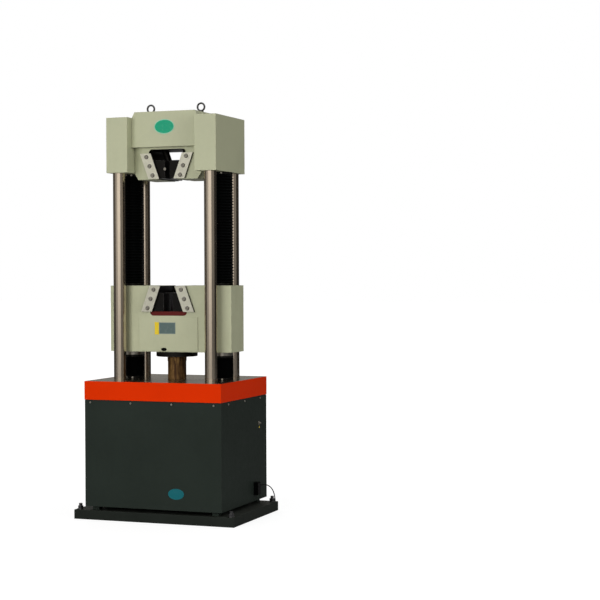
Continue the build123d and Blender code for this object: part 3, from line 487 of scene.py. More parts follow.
def rusted(name, groups, dark, light):
    """Forged pillar: brown skin with paler upright streaks where it has been wiped."""
    material, g, shader = new_material(name, Metallic=0.55)
    place = g.place()
    streaks = g.remap(g.noise(g.stretched(place, (70.0, 70.0, 7.0)), 1.0, 5.0, 0.65), 0.42, 0.68)
    patches = g.remap(g.noise(place, 28.0, 4.0), 0.3, 0.7)
    mask = g.times(streaks, g.plus(g.times(patches, 0.6), 0.4))
    edges = g.use(groups["edge"], {"Radius": 0.0015, "Break Up": 0.4})
    rough = g.remap(streaks, 0.0, 1.0, 0.62, 0.36)
    wire(g, shader, g.blend(mask, dark, light), rough, streaks, edges["Normal"], 0.25, 0.0008)
    return material


# Finish: its maker, its material's name and its values. The colour is the setting that rgb names, or else
# the one of the same name.
FINISHES = {
    "beige": (painted, "beige_paint", dict(worn_lit_edge_rgb=PALE_WORN_LIT_EDGE)),
    "orange": (painted, "orange_paint", dict(
        worn_lit_edge_rgb=(0.75, 0.16, 0.05), drift=0.03, roughness=0.4, peel=0.3, grime=0.04, coat=0.0,
        specular=0.03)),
    "charcoal": (painted, "charcoal_paint", dict(
        worn_lit_edge_rgb=(0.04, 0.045, 0.04), drift=0.08, roughness=0.5, peel=0.9, peel_scale=700.0, coat=0.0,
        specular=0.08)),
    "base": (painted, "base_paint", dict(
        worn_lit_edge_rgb=(0.05, 0.05, 0.045), drift=0.12, roughness=0.48, grime=0.1, dust=0.06, peel=0.8,
        peel_scale=250.0, coat=0.0, specular=0.06)),
    "primer": (painted, "red_primer", dict(worn_lit_edge_rgb=(0.2, 0.06, 0.04), roughness=0.5, grime=0.3)),
    "ground": (machined, "ground_steel", dict(
        stretch=(1.0, 40.0, 40.0), contrast=0.12, roughness=0.22, stain=0.35, dust=0.1)),
    "chrome": (machined, "chromed_steel", dict(
        stretch=(30.0, 30.0, 0.6), contrast=0.05, roughness=0.14, stain=0.06, bump=0.01)),
    "oxide": (machined, "black_oxide", dict(
        stretch=(20.0, 20.0, 2.0), contrast=0.25, roughness=0.4, stain=0.2, metallic=0.7,
        stain_rgb=(0.02, 0.012, 0.008))),
    "hardened": (machined, "hardened_steel", dict(stretch=(3.0, 60.0, 60.0), roughness=0.35)),
    "dark_steel": (machined, "dark_screw_steel", dict(rgb="hardened", stretch=(6.0, 6.0, 6.0), contrast=0.2)),
    "zinc": (machined, "zinc_plate", dict(stretch=(8.0, 8.0, 8.0), contrast=0.12, roughness=0.32)),
    "chain": (machined, "oiled_chain", dict(stretch=(10.0, 10.0, 10.0), roughness=0.35, stain=0.4)),
    "bellows": (coated_fabric, "bellows_cloth", {}),
    "badge_top": (enamel, "teal_enamel", {}),
    "badge_low": (enamel, "blue_teal_enamel", dict(roughness=0.35, coat=0.3)),
    "badge_rim": (enamel, "badge_rim", {}),
    "plate": (enamel, "plain_plate_face", {}),
    "plate_rim": (enamel, "plain_plate_border", {}),
    "yellow": (enamel, "yellow_film", dict(coat=0.3)),
    "jacket": (moulded, "cable_jacket", {}),
    "black_plastic": (moulded, "black_plastic", dict(rgb="plastic", roughness=0.4, peel=0.8)),
}


def build_materials():
    settings = bpy.context.scene.machine_colours
    rgb = {key: tuple(getattr(settings, key)) for key in setting_names(settings)}
    groups = {"edge": edge_group(), "film": film_group(), "grain": grain_group(), "dust": dust_group(),
              "mouth": mouth_shade_group()}
    made = {"pillar": rusted("rusted_pillar", groups, rgb["rust"], rgb["rust_light"])}
    for key, (maker, name, values) in FINISHES.items():
        made[key] = maker(name, groups, **{**values, "rgb": rgb[values.get("rgb", key)]})
    for name, way in (("upper", 1.0), ("middle", -1.0)):
        low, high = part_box(name + "_crosshead")
        # Casting paint with a painted shade, near black, on the walls inside its mouth
        made[name + "_cast"] = painted(
            name + "_casting_paint", groups, rgb["beige"], PALE_WORN_LIT_EDGE, drift=0.06, peel=0.8, peel_scale=160.0,
            roughness=0.46, grime=0.15, mouth={
                "Narrow End": low.z if way > 0 else high.z, "Way": way, "Half Width": MOUTH_HALF_WIDTH,
                "Height": MOUTH_HEIGHT, "Half Depth": MOUTH_HALF_DEPTH[name] - 3 * MM})
        # Guide steel with a painted shade on its sides
        made[name + "_guide"] = machined(
            name + "_guide_steel", groups, rgb["guide"], (1.0, 1.0, 60.0), contrast=0.08, roughness=0.34,
            stain=0.12, metallic=0.85, front=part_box(name + "_guide_plates")[1].y - 1 * MM)
    for key, material in made.items():
        material["machine_finish"] = key


def finish_of(key):
    """The material made for a finish."""
    return next(m for m in bpy.data.materials if m.get("machine_finish") == key)


# Mesh helpers

def new_object(name, data):
    made = bpy.data.objects.new(name, data)
    bpy.context.scene.collection.objects.link(made)
    return made


def flat_mesh(name, points, faces, material):
    """Bare mesh of the studio, in one material."""
    mesh = bpy.data.meshes.new(name)
    mesh.from_pydata(points, [], faces)
    mesh.materials.append(material)
    return new_object(name, mesh)


def mesh_piece(name, build, body, finish):
    """Fills a new object with build(bm), and seats it on its body."""
    mesh = bpy.data.meshes.new(name)
    bm = bmesh.new()
    build(bm)
    bmesh.ops.remove_doubles(bm, verts=bm.verts, dist=1e-6)
    bmesh.ops.recalc_face_normals(bm, faces=bm.faces)
    bm.to_mesh(mesh)
    bm.free()
    mesh.materials.append(finish_of(finish))
    piece = new_object(name, mesh)
    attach(piece, body)
    return piece


def join_rings(bm, rings):
    """Faces between neighbouring rings, of which one can be a single point."""
    count = max(len(ring) for ring in rings)
    for low, high in zip(rings, rings[1:]):
        for k in range(count):
            m = (k + 1) % count
            corners = [low[k % len(low)], low[m % len(low)], high[m % len(high)], high[k % len(high)]]
            unique = list(dict.fromkeys(corners))
            if len(unique) > 2:
                bm.faces.new(unique)
    for ring in (rings[0], rings[-1]):
        if len(ring) > 1:
            bm.faces.new(ring)


def lathe(bm, profile, centre, axis, segments=48):
    """Closed solid of revolution. The profile is (distance along the axis, radius) from end to end."""
    turn = Vector((0, 0, 1)).rotation_difference(Vector(axis)).to_matrix()
    angles = [FULL_TURN * k / segments for k in range(segments)]
    join_rings(bm, [[bm.verts.new(Vector(centre) + turn @ Vector((
        radius * math.cos(angle), radius * math.sin(angle), along)))
        for angle in (angles if radius > 1e-7 else angles[:1])] for along, radius in profile])


OVAL = [(math.cos(FULL_TURN * k / 72) / 2, math.sin(FULL_TURN * k / 72) / 2) for k in range(72)]
OBLONG = [(-0.5, -0.5), (0.5, -0.5), (0.5, 0.5), (-0.5, 0.5)]


def front_piece(name, outline, levels, place, body, finish):
    """Solid that lies on a front face: an outline of size 1 at each level's width, height and distance."""
    def build(bm):
        join_rings(bm, [[bm.verts.new((x * width, y * height, z)) for x, y in outline]
                        for width, height, z in levels])
        turn = Matrix.Translation(place) @ Matrix.Rotation(math.pi / 2, 4, "X")
        bmesh.ops.transform(bm, matrix=turn, verts=bm.verts)

    return mesh_piece(name, build, body, finish)


def finish_rim(piece, place, finish, on_rim):
    """Gives the faces on the rim their own finish."""
    piece.data.materials.append(finish_of(finish))
    for face in piece.data.polygons:
        offset = face.center - Vector(place)
        face.material_index = int(on_rim(offset.x, offset.z))


# Geometry Nodes helpers

def grow(name, tree, values, body, points=(), edges=()):
    """Runs a tree on a carrier mesh of points, and keeps its result as a plain mesh on the body."""
    carrier_mesh = bpy.data.meshes.new(name + "_carrier")
    carrier_mesh.from_pydata([place for place, _ in points], edges, [])
    facing = carrier_mesh.attributes.new("facing", "FLOAT_VECTOR", "POINT")
    for item, (_, direction) in zip(facing.data, points):
        item.vector = direction
    carrier = new_object(name + "_carrier", carrier_mesh)
    modifier = carrier.modifiers.new("grow", "NODES")
    modifier.node_group = tree
    sockets = {item.name: item.identifier for item in tree.interface.items_tree
               if item.item_type == "SOCKET" and item.in_out == "INPUT"}
    for key, value in values.items():
        modifier[sockets[key]] = value
    piece = new_object(name, evaluated_mesh(carrier))
    piece.data.name = name
    carrier.modifiers.remove(modifier)
    bpy.data.objects.remove(carrier)
    if body:
        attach(piece, body)
    return piece


def evaluated_mesh(thing):
    return bpy.data.meshes.new_from_object(thing.evaluated_get(bpy.context.evaluated_depsgraph_get()))


def bellows_tree():
    """Pleated tube: a line of rings whose radius goes in and out, six rings to a pleat."""
    g = geometry_group("bellows_pleats", {"Foot": VECTOR, "Length": NUMBER, "Pleats": COUNT,
                                          "Outer Radius": NUMBER, "Depth": NUMBER})
    given, rings = g.given, 6.0
    top = g.node("ShaderNodeCombineXYZ", {"Z": given["Length"]})[0]
    line = g.node("GeometryNodeCurvePrimitiveLine", {"Start": (0, 0, 0), "End": top})[0]
    count = g.plus(g.times(given["Pleats"], rings), 1.0)
    path = g.node("GeometryNodeResampleCurve", {"Curve": line, "Count": count})[0]
    phase = g.maths("DIVIDE", g.maths("MODULO", g.node("GeometryNodeInputIndex")[0], rings), rings)
    fold = g.minus(1.0, g.maths("ABSOLUTE", g.minus(g.times(phase, 2.0), 1.0)))
    rounded = g.maths("POWER", fold, 0.9)
    inner = g.minus(given["Outer Radius"], given["Depth"])
    radius = g.plus(inner, g.times(rounded, given["Depth"]))
    circle = g.node("GeometryNodeCurvePrimitiveCircle", {"Resolution": 72, "Radius": 1.0})[0]
    shell = g.node("GeometryNodeCurveToMesh", {"Curve": path, "Profile Curve": circle, "Scale": radius})[0]
    g.finish(g.node("GeometryNodeTransform", {"Geometry": shell, "Translation": given["Foot"]})[0])
    return g.tree


def screw_tree():
    """Screw heads on the carrier's points: a chamfered round head with a socket of any number of sides."""
    g = geometry_group("screw_heads", {"Radius": NUMBER, "Height": NUMBER, "Socket Radius": NUMBER,
                                       "Socket Sides": COUNT, "Socket Depth": NUMBER, "Edge": NUMBER})
    given, sides = g.given, 32
    radius, edge = given["Radius"], given["Edge"]
    straight = g.minus(given["Height"], edge)
    body = g.node("GeometryNodeMeshCylinder", {"Vertices": sides, "Radius": radius, "Depth": straight})[0]
    rim = g.node("GeometryNodeMeshCone", {"Vertices": sides, "Radius Bottom": radius,
                                          "Radius Top": g.minus(radius, edge), "Depth": edge})[0]
    head = g.add("GeometryNodeMeshBoolean", operation="UNION")
    for solid, height in ((body, g.times(straight, 0.5)), (rim, straight)):
        g.put(g.lifted(solid, height), head.inputs["Mesh 2"])
    cutter = g.node("GeometryNodeMeshCylinder", {
        "Vertices": given["Socket Sides"], "Radius": given["Socket Radius"],
        "Depth": g.times(given["Socket Depth"], 2.0)})[0]
    drilled = g.node("GeometryNodeMeshBoolean", {"Mesh 1": head.outputs[0],
                                                 "Mesh 2": g.lifted(cutter, given["Height"])},
                     operation="DIFFERENCE")[0]
    facing = g.node("GeometryNodeInputNamedAttribute", {"Name": "facing"}, data_type="FLOAT_VECTOR")[0]
    turn = g.node("FunctionNodeAlignRotationToVector", {"Vector": facing}, axis="Z")[0]
    points = g.node("GeometryNodeMeshToPoints", {"Mesh": given["Geometry"]})[0]
    g.finish(g.node("GeometryNodeInstanceOnPoints", {
        "Points": points, "Instance": drilled, "Rotation": turn})[0])
    return g.tree


def roller_tree():
    """Rollers at an even pitch along the carrier's closed path."""
    g = geometry_group("chain_rollers", {"Count": COUNT, "Radius": NUMBER, "Height": NUMBER})
    path = g.node("GeometryNodeMeshToCurve", {"Mesh": g.given["Geometry"]})[0]
    even = g.node("GeometryNodeResampleCurve", {"Curve": path, "Count": g.given["Count"]})[0]
    roller = g.node("GeometryNodeMeshCylinder", {"Vertices": 14, "Radius": g.given["Radius"],
                                                 "Depth": g.given["Height"]})[0]
    g.finish(g.node("GeometryNodeInstanceOnPoints", {"Points": even, "Instance": roller})[0])
    return g.tree


def grow_screws(name, points, body, slot, finish, radius, height, socket, depth, edge, sides=6):
    """Screw heads, or washers where the socket goes through; the only such washers are the dark rings of
    painted shade round the guide screws.
    """
    tree = bpy.data.node_groups.get("screw_heads") or screw_tree()
    grow(name, tree, {
        "Radius": radius, "Height": height, "Socket Radius": socket, "Socket Sides": sides,
        "Socket Depth": depth, "Edge": edge, "Material": finish_of(finish)}, body, points)


# Operators

class MachineOperator(bpy.types.Operator):
    bl_options = {"REGISTER"}


class MACHINE_OT_stage(MachineOperator):
    """Camera, pale floor, white surroundings and soft studio light"""

    bl_idname = "machine.stage"
    bl_label = "Stage"

    camera_place = (3.8342, -8.2877, 1.4181)
    yaw_pitch_roll = (20.287, -1.008, -0.212)
    floor_reach = 60.0
    floor_tone = (0.25, 0.25, 0.25)
    # Distance from the machine over which the floor runs out into white, and its glow at both ends
    floor_fade = (0.9, 2.2, 0.86, 1.0)
    floor_in_metal = 0.1
    card_radius = 10.0
    card_ends = (-1.0, 7.0)
    card_step = 6
    card_tint = (1.0, 0.97, 0.92)
    # Heights between which a card goes from half its level to the whole
    card_rise = (0.3, 2.0)
    # Name, first and last angle in degrees from the front, and level
    cards = (
        ("left_card", -145, -48, 0.12),
        ("left_silk", -48, -12, 0.5),
        ("main_silk", -12, 40, 1.0),
        ("right_silk", 40, 92, 0.24),
        ("right_card", 92, 182, 0.03),
        ("rear_card", 182, 215, 0.3),
    )
    light_aim = Vector((0, 0, 1.2))
    # Name, place, width and height, and the setting that holds its power
    area_lights = (
        ("key_light", (-1.8, -7.6, 2.3), (5.0, 3.6), "key_power"),
        ("fill_light", (6.4, -2.6, 3.0), (2.4, 3.4), "fill_power"),
        ("rear_light", (-3.0, 6.0, 4.0), (4.0, 3.0), "fill_power"),
    )

    def execute(self, context):
        settings = context.scene.machine_stage
        self.camera(context, settings)
        self.surroundings(context, settings)
        self.floor()
        self.reflections()
        self.lights(settings)
        context.scene.view_settings.view_transform = "Standard"
        return {"FINISHED"}

    def camera(self, context, settings):
        yaw, pitch, roll = (math.radians(angle) for angle in self.yaw_pitch_roll)
        data = bpy.data.cameras.new("photo_camera")
        data.lens = settings.focal_length
        data.sensor_width = 36
        data.clip_end = 200
        camera = new_object("photo_camera", data)
        camera.matrix_world = (
            Matrix.Translation(self.camera_place) @ Matrix.Rotation(yaw, 4, "Z")
            @ Matrix.Rotation(math.pi / 2 + pitch, 4, "X") @ Matrix.Rotation(roll, 4, "Z"))
        context.scene.camera = camera

    def surroundings(self, context, settings):
        """White where the camera, metal or glass sees it, and a weak even light on everything else."""
        world = bpy.data.worlds.new("studio")
        context.scene.world = world
        world.use_nodes = True
        world.node_tree.nodes.clear()
        g = Graph(world.node_tree)
        path = g.node("ShaderNodeLightPath")
        seen = g.maths("MAXIMUM", g.maths("MAXIMUM", path["Is Camera Ray"], path["Is Glossy Ray"]),
                       path["Is Transmission Ray"])
        strength = g.remap(seen, 0.0, 1.0, settings.ambient)
        light = g.node("ShaderNodeBackground", {"Color": (1, 1, 1), "Strength": strength})[0]
        g.add("ShaderNodeOutputWorld", {"Surface": light})

    def floor(self):
        """Pale floor that keeps the shadow near the machine and runs out into white."""
        material, g, shader = new_material("pale_floor", Base_Color=self.floor_tone, Roughness=0.9,
                                           Specular_IOR_Level=0.0, Emission_Color=(1, 1, 1))
        path = g.node("ShaderNodeLightPath")
        away = g.node("ShaderNodeVectorMath", {0: g.place()}, operation="LENGTH")["Value"]
        white = g.remap(away, *self.floor_fade)
        seen = g.maths("MAXIMUM", path["Is Camera Ray"], path["Is Transmission Ray"])
        glow = g.maths("MAXIMUM", g.times(seen, white), g.times(path["Is Glossy Ray"], self.floor_in_metal))
        g.put(glow, shader.inputs["Emission Strength"])
        corners = [(x * 2 * self.floor_reach, y * 2 * self.floor_reach, 0) for x, y in OBLONG]
        floor = flat_mesh("floor", corners, [(0, 1, 2, 3)], material)

    def reflections(self):
        """Tall curved cards round the studio that only metal and gloss see: dark ones with a bright front."""
        for name, start, end, level in self.cards:
            steps = max(2, round((end - start) / self.card_step))
            angles = [math.radians(start + (end - start) * k / steps) for k in range(steps + 1)]
            points = [(self.card_radius * math.sin(a), -self.card_radius * math.cos(a), z)
                      for z in self.card_ends for a in angles]
            material, g, shader = new_material(name, Base_Color=(0, 0, 0), Specular_IOR_Level=0.0,
                                               Emission_Color=self.card_tint)
            strength = g.remap(g.axis(g.place(), "Z"), *self.card_rise, level / 2, level)
            g.put(strength, shader.inputs["Emission Strength"])
            card = flat_mesh(name, points, [(k, k + 1, steps + 2 + k, steps + 1 + k) for k in range(steps)],
                             material)
            for ray in ("camera", "diffuse", "transmission", "volume_scatter", "shadow"):
                setattr(card, "visible_" + ray, False)

    def lights(self, settings):
        for name, place, (width, height), power in self.area_lights:
            data = bpy.data.lights.new(name, "AREA")
            data.shape = "RECTANGLE"
            data.size, data.size_y = width, height
            data.energy = getattr(settings, power)
            light = new_object(name, data)
            light.visible_glossy = False
            light.matrix_world = Matrix.Translation(place) @ (self.light_aim - Vector(place)).to_track_quat(
                "-Z", "Y").to_matrix().to_4x4()


class MACHINE_OT_finishes(MachineOperator):
    """Gives each CAD node that stays its own finish"""

    bl_idname = "machine.finishes"
    bl_label = "Finishes"

    finishes = {
        "beige": "top_hood left_end_cover right_end_cover middle_covers",
        "upper_cast": "upper_crosshead",
        "middle_cast": "middle_crosshead",
        "orange": "table_skirt",
        "charcoal": "front_panel rear_panel left_panel right_panel enclosure_frame",
        "base": "base_plate machine_bed cylinder_barrel drive_motor",
        "ground": "work_table cylinder_head ram_seat",
        "chrome": "front_left_column front_right_column rear_left_column rear_right_column ram "
                  "left_lead_screw right_lead_screw upper_jaw_cylinders middle_jaw_cylinders",
        "upper_guide": "upper_guide_plates",
        "middle_guide": "middle_guide_plates",
        "oxide": "upper_left_jaw upper_right_jaw middle_left_jaw middle_right_jaw upper_platen "
                 "motor_sprocket frame_bellows_rings middle_bellows_rings",
        "dark_steel": "anchor_bolts eyebolts",
        "hardened": "upper_left_insert upper_right_insert middle_left_insert middle_right_insert",
        "zinc": "column_nuts oil_port_block screw_bearings screw_nuts",
        "black_plastic": "connector_box cable_gland",
        "pillar": "compression_pillar",
        "primer": "rod_plate",
        "chain": "drive_chain",
    }

    def execute(self, context):
        for finish, names in self.finishes.items():
            for name in names.split():
                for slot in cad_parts[name].material_slots:
                    slot.material = finish_of(finish)
        return {"FINISHED"}


class MACHINE_OT_bellows(MachineOperator):
    """Pleated bellows over both lead screws, above and below the middle crosshead"""

    bl_idname = "machine.bellows"
    bl_label = "Bellows"

    def execute(self, context):
        settings = context.scene.machine_fittings
        tree = bellows_tree()
        for side in ("left", "right"):
            for level in ("upper", "lower"):
                cad = f"{level}_{side}_bellows"
                low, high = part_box(cad)
                middle = (low + high) / 2
                rise = high.z - low.z
                piece = grow(f"{level}_{side}_pleats", tree, {
                    "Foot": (middle.x, middle.y, low.z), "Length": rise,
                    "Pleats": max(settings.lower_pleats, round(rise / settings.pleat_pitch)),
                    "Outer Radius": (high.x - low.x) / 2 + settings.pleat_reach,
                    "Depth": settings.pleat_depth, "Material": finish_of("bellows")}, None)
                wall = piece.modifiers.new("wall", "SOLIDIFY")
                wall.thickness = settings.bellows_wall
                wall.offset = -1
                solid = evaluated_mesh(piece)
                piece.modifiers.remove(wall)
                piece.data = solid
                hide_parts(cad)
                if level == "upper":
                    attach(piece, "moving_frame")
                    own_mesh(piece)
                else:
                    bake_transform(piece)
        return {"FINISHED"}


class MACHINE_OT_cap_screws(MachineOperator):
    """Socket-head cap screws of the guide plates, on dark rings of painted shade that stand for the shadow in
    their counterbores
    """

    bl_idname = "machine.cap_screws"
    bl_label = "Cap Screws"

    def execute(self, context):
        settings = context.scene.machine_fittings
        for mouth, body, up in (("upper", "moving_frame", 1), ("middle", "middle_crosshead", -1)):
            points = self.places(mouth + "_guide_plates", up)
            grow_screws(f"{body}_guide_screws", points, body, "zinc_steel", "zinc", settings.cap_radius,
                        settings.cap_height, settings.cap_socket, settings.cap_height * 0.55, 1.4 * MM)
            # Dark rings of painted shade under the heads
            grow_screws(f"{body}_guide_washers", points, body, "hard_steel", "oxide", settings.cap_shade_ring,
                        1 * MM, GUIDE_HOLE_RADIUS, 2 * MM, 0.3 * MM, sides=32)
        return {"FINISHED"}

    def places(self, plates, up):
        """The three screws of each guide plate, worked out from the plates' own box and the mouth's slope."""
        lean = math.cos(math.atan(WEDGE_SLOPE))
        low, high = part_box(plates)
        narrow = low.z - GUIDE_INSET if up > 0 else high.z + GUIDE_INSET
        places = []
        for k in (-1, 0, 1):
            height = GUIDE_INSET + GUIDE_LENGTH / 2 + k * GUIDE_SCREW_PITCH * lean
            x = MOUTH_HALF_WIDTH - GUIDE_OVERLAP + WEDGE_SLOPE * height + GUIDE_WIDTH / lean / 2
            for side in (-1, 1):
                for face, y in ((-1, low.y), (1, high.y)):
                    places.append(((side * x, y, narrow + up * height), (0, face, 0)))
        return places


class MACHINE_OT_jaw_screw(MachineOperator):
    """Bright cap screw on the front of the upper left jaw"""

    bl_idname = "machine.jaw_screw"
    bl_label = "Jaw Screw"

    place_x = -14.5 * MM
    place_z = 2.021
    # Radius, height, socket's radius and depth, and edge
    sizes = (8.5 * MM, 5 * MM, 3.6 * MM, 3 * MM, 0.8 * MM)

    def execute(self, context):
        place = (self.place_x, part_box("upper_left_jaw")[0].y, self.place_z)
        grow_screws("jaw_screw", [(place, (0, -1, 0))], "upper_left_jaw", "zinc_steel", "zinc", *self.sizes)
        return {"FINISHED"}


class MACHINE_OT_ring_screws(MachineOperator):
    """Bright clamp screws on the fronts of the bellows' fixed rings"""

    bl_idname = "machine.ring_screws"
    bl_label = "Ring Screws"

    angles = (-97, -67)
    half_ring = 6 * MM
    # Radius, height, socket's radius and depth, and edge
    sizes = (5.6 * MM, 4 * MM, 2.4 * MM, 2.5 * MM, 0.6 * MM)

    def execute(self, context):
        low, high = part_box("frame_bellows_rings")
        radius = (high.y - low.y) / 2
        points = []
        for centre in (low.x + radius, high.x - radius):
            for height in (high.z - self.half_ring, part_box("work_table")[1].z + self.half_ring):
                for angle in self.angles:
                    out = Vector((math.cos(math.radians(angle)), math.sin(math.radians(angle)), 0))
                    points.append(((centre + radius * out.x, radius * out.y, height), tuple(out)))
        grow_screws("ring_screws", points, "moving_frame", "zinc_steel", "zinc", *self.sizes)
        return {"FINISHED"}


class MACHINE_OT_panel_screws(MachineOperator):
    """Pan-head screws along the tops of the enclosure's panels"""

    bl_idname = "machine.panel_screws"
    bl_label = "Panel Screws"

    screw_x = (-0.392, -0.135, 0.121, 0.380)
    screw_y = (-0.24, 0.0, 0.24)
    drop = 12.5 * MM
    edge = 1.2 * MM

    def execute(self, context):
        settings = context.scene.machine_fittings
        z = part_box("enclosure_frame")[1].z - self.drop
        points = []
        for panel, end, out in (("front_panel", 0, -1), ("rear_panel", 1, 1)):
            points += [((-out * x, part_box(panel)[end].y, z), (0, out, 0)) for x in self.screw_x]
        for panel, end, out in (("left_panel", 0, -1), ("right_panel", 1, 1)):
            points += [((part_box(panel)[end].x, y, z), (out, 0, 0)) for y in self.screw_y]
        radius, height = settings.pan_radius, settings.pan_height
        grow_screws("enclosure_screws", points, "base", "zinc_steel", "zinc", radius, height, radius * 0.42,
                    height * 0.5, self.edge, sides=4)
        return {"FINISHED"}


class MACHINE_OT_badges(MachineOperator):
    """Bare oval badges on the hood and on the front panel"""

    bl_idname = "machine.badges"
    bl_label = "Badges"

    hood_x_z = (0.0, 2.263)
    panel_x_z = (0.1475, 0.171)

    def execute(self, context):
        settings = context.scene.machine_fittings
        self.badge(settings, "hood_badge", settings.badge_top_width, settings.badge_top_height,
                   self.hood_x_z, "top_hood", "moving_frame", "badge_top", "badge_rim")
        self.badge(settings, "panel_badge", settings.badge_low_width, settings.badge_low_height,
                   self.panel_x_z, "front_panel", "base", "badge_low")
        return {"FINISHED"}

    def badge(self, settings, name, width, height, x_z, carrier, body, finish, rim_finish=None):
        """Pressed oval with a raised rim round a slightly crowned field."""
        thick, border = settings.badge_thickness, settings.badge_border
        lip, step = 1.2 * MM, 1.5 * MM
        field_width, field_height = width - border, height - border
        levels = [(width, height, 0), (width, height, thick * 0.7), (width - lip, height - lip, thick),
                  (field_width, field_height, thick), (field_width - step, field_height - step, thick * 0.55)]
        levels += [(field_width * part, field_height * part, thick * (0.55 + 0.3 * (1 - part)))
                   for part in (0.75, 0.5, 0.25)]
        place = (x_z[0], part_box(carrier)[0].y, x_z[1])
        badge = front_piece(name, OVAL, levels, place, body, finish)
        if rim_finish:
            finish_rim(badge, place, rim_finish,
                       lambda x, z: math.hypot(x / field_width, z / field_height) * 2 > 0.985)


class MACHINE_OT_plates(MachineOperator):
    """Bare plate and bare yellow strip on the middle crosshead's cover"""

    bl_idname = "machine.plates"
    bl_label = "Plates"

    thickness = 1.2 * MM
    field_drop = 0.4 * MM
    field_bevel = 1 * MM
    # Name, corners in x and z, finish, and the width and finish of the border
    plates = (
        ("plain_plate", (-0.058, 1.066), (0.046, 1.1325), "plate", 3.5 * MM, "plate_rim"),
        ("plain_strip", (-0.0855, 1.062), (-0.059, 1.134), "yellow", 0, None),
    )

    def execute(self, context):
        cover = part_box("middle_covers")[0].y
        thick = self.thickness
        for name, low, high, finish, border, rim_finish in self.plates:
            width, height = high[0] - low[0], high[1] - low[1]
            place = ((low[0] + high[0]) / 2, cover, (low[1] + high[1]) / 2)
            levels = [(width, height, 0), (width, height, thick * 0.8),
                      (width - thick * 0.6, height - thick * 0.6, thick)]
            field_width, field_height = width - 2 * border, height - 2 * border
            if border:
                levels += [(field_width, field_height, thick),
                           (field_width - self.field_bevel, field_height - self.field_bevel,
                            thick - self.field_drop)]
            plate = front_piece(name, OBLONG, levels, place, "middle_crosshead", finish)
            if border:
                finish_rim(plate, place, rim_finish,
                           lambda x, z: max(abs(x) / field_width, abs(z) / field_height) * 2 > 0.99)
        return {"FINISHED"}


class MACHINE_OT_oval_plug(MachineOperator):
    """Black oval rubber plug low on the front of the middle crosshead"""

    bl_idname = "machine.oval_plug"
    bl_label = "Oval Plug"

    width, height, thickness = 35 * MM, 19 * MM, 5 * MM
    lip = 3 * MM
    x_z = (-0.027, 0.976)

    def execute(self, context):
        width, height, thick, lip = self.width, self.height, self.thickness, self.lip
        levels = [(width, height, 0), (width, height, thick * 0.5), (width - lip, height - lip, thick),
                  (width * 0.55, height * 0.55, thick), (width * 0.45, height * 0.45, thick * 0.4)]
        place = (self.x_z[0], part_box("middle_covers")[0].y, self.x_z[1])
        front_piece("oval_plug", OVAL, levels, place, "middle_crosshead", "black_plastic")
        return {"FINISHED"}


class MACHINE_OT_ground_terminal(MachineOperator):
    """Plated ground stud with nut and washer, and its bare yellow tag, on the right panel"""

    bl_idname = "machine.ground_terminal"
    bl_label = "Ground Terminal"

    stud_y_z = (0.219, 0.531)
    tag_y_z = (0.226, 0.506)
    # Sides, and profile in mm: washer, nut and stud
    stud_parts = (
        (48, ((0, 0), (0, 11), (1.5, 11), (1.5, 0))),
        (6, ((1.5, 0), (1.5, 9), (7.5, 9), (7.5, 0))),
        (24, ((7.5, 0), (7.5, 5), (13, 5), (14, 4), (14, 0))),
    )
    tag_parts = ((40, ((0, 0), (0, 6), (0.6, 6), (0.8, 5.6), (0.8, 0))),)

    def execute(self, context):
        for name, y_z, parts, finish, slot in (
                ("ground_stud", self.stud_y_z, self.stud_parts, "zinc", "zinc_steel"),
                ("ground_tag", self.tag_y_z, self.tag_parts, "yellow", "dark_paint")):
            centre = (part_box("right_panel")[1].x, *y_z)

            def build(bm):
                for sides, profile in parts:
                    metres = [(along * MM, radius * MM) for along, radius in profile]
                    lathe(bm, metres, centre, (1, 0, 0), sides)

            mesh_piece(name, build, "base", finish)
        return {"FINISHED"}


class MACHINE_OT_chain_rollers(MachineOperator):
    """Rollers between the side plates of the drive chain"""

    bl_idname = "machine.chain_rollers"
    bl_label = "Chain Rollers"

    pitch = 15.875 * MM
    roller_radius = 5.08 * MM
    half_plate = 7 * MM
    side_plates = 3.2 * MM
    arc_steps = 16

    def execute(self, context):
        low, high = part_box("drive_chain")
        wheels = []
        for name in ("left_lead_screw", "right_lead_screw", "motor_sprocket"):
            box_low, box_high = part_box(name)
            wheels.append(Vector(((box_low.x + box_high.x) / 2, (box_low.y + box_high.y) / 2)))
        screw_radius = wheels[0].y - low.y - self.half_plate
        motor_radius = high.y - self.half_plate - wheels[2].y
        points = self.path(wheels, screw_radius, motor_radius, (low.z + high.z) / 2)
        around = sum((Vector(a) - Vector(b)).length for a, b in zip(points, points[1:] + points[:1]))
        edges = [(k, (k + 1) % len(points)) for k in range(len(points))]
        grow("chain_rollers", roller_tree(), {
            "Count": round(around / self.pitch), "Radius": self.roller_radius,
            "Height": (high.z - low.z) - self.side_plates, "Material": finish_of("chain")},
            "base", [(p, (0, 0, 1)) for p in points], edges)
        return {"FINISHED"}

    def path(self, wheels, screw_radius, motor_radius, z):
        """Closed line round the three pitch circles: left screw, right screw, then the motor."""
        left, right, motor = wheels
        reach = motor - left
        lean = math.atan2(reach.y, reach.x) + math.asin((motor_radius - screw_radius) / reach.length)
        outward = lean + math.pi / 2
        arcs = ((left, screw_radius, outward, math.pi * 1.5),
                (right, screw_radius, math.pi * 1.5, math.pi * 3 - outward),
                (motor, motor_radius, math.pi - outward, outward))
        points = []
        for centre, radius, start, end in arcs:
            if end < start:
                end += FULL_TURN
            for k in range(self.arc_steps + 1):
                angle = start + (end - start) * k / self.arc_steps
                points.append((centre.x + radius * math.cos(angle), centre.y + radius * math.sin(angle), z))
        return points


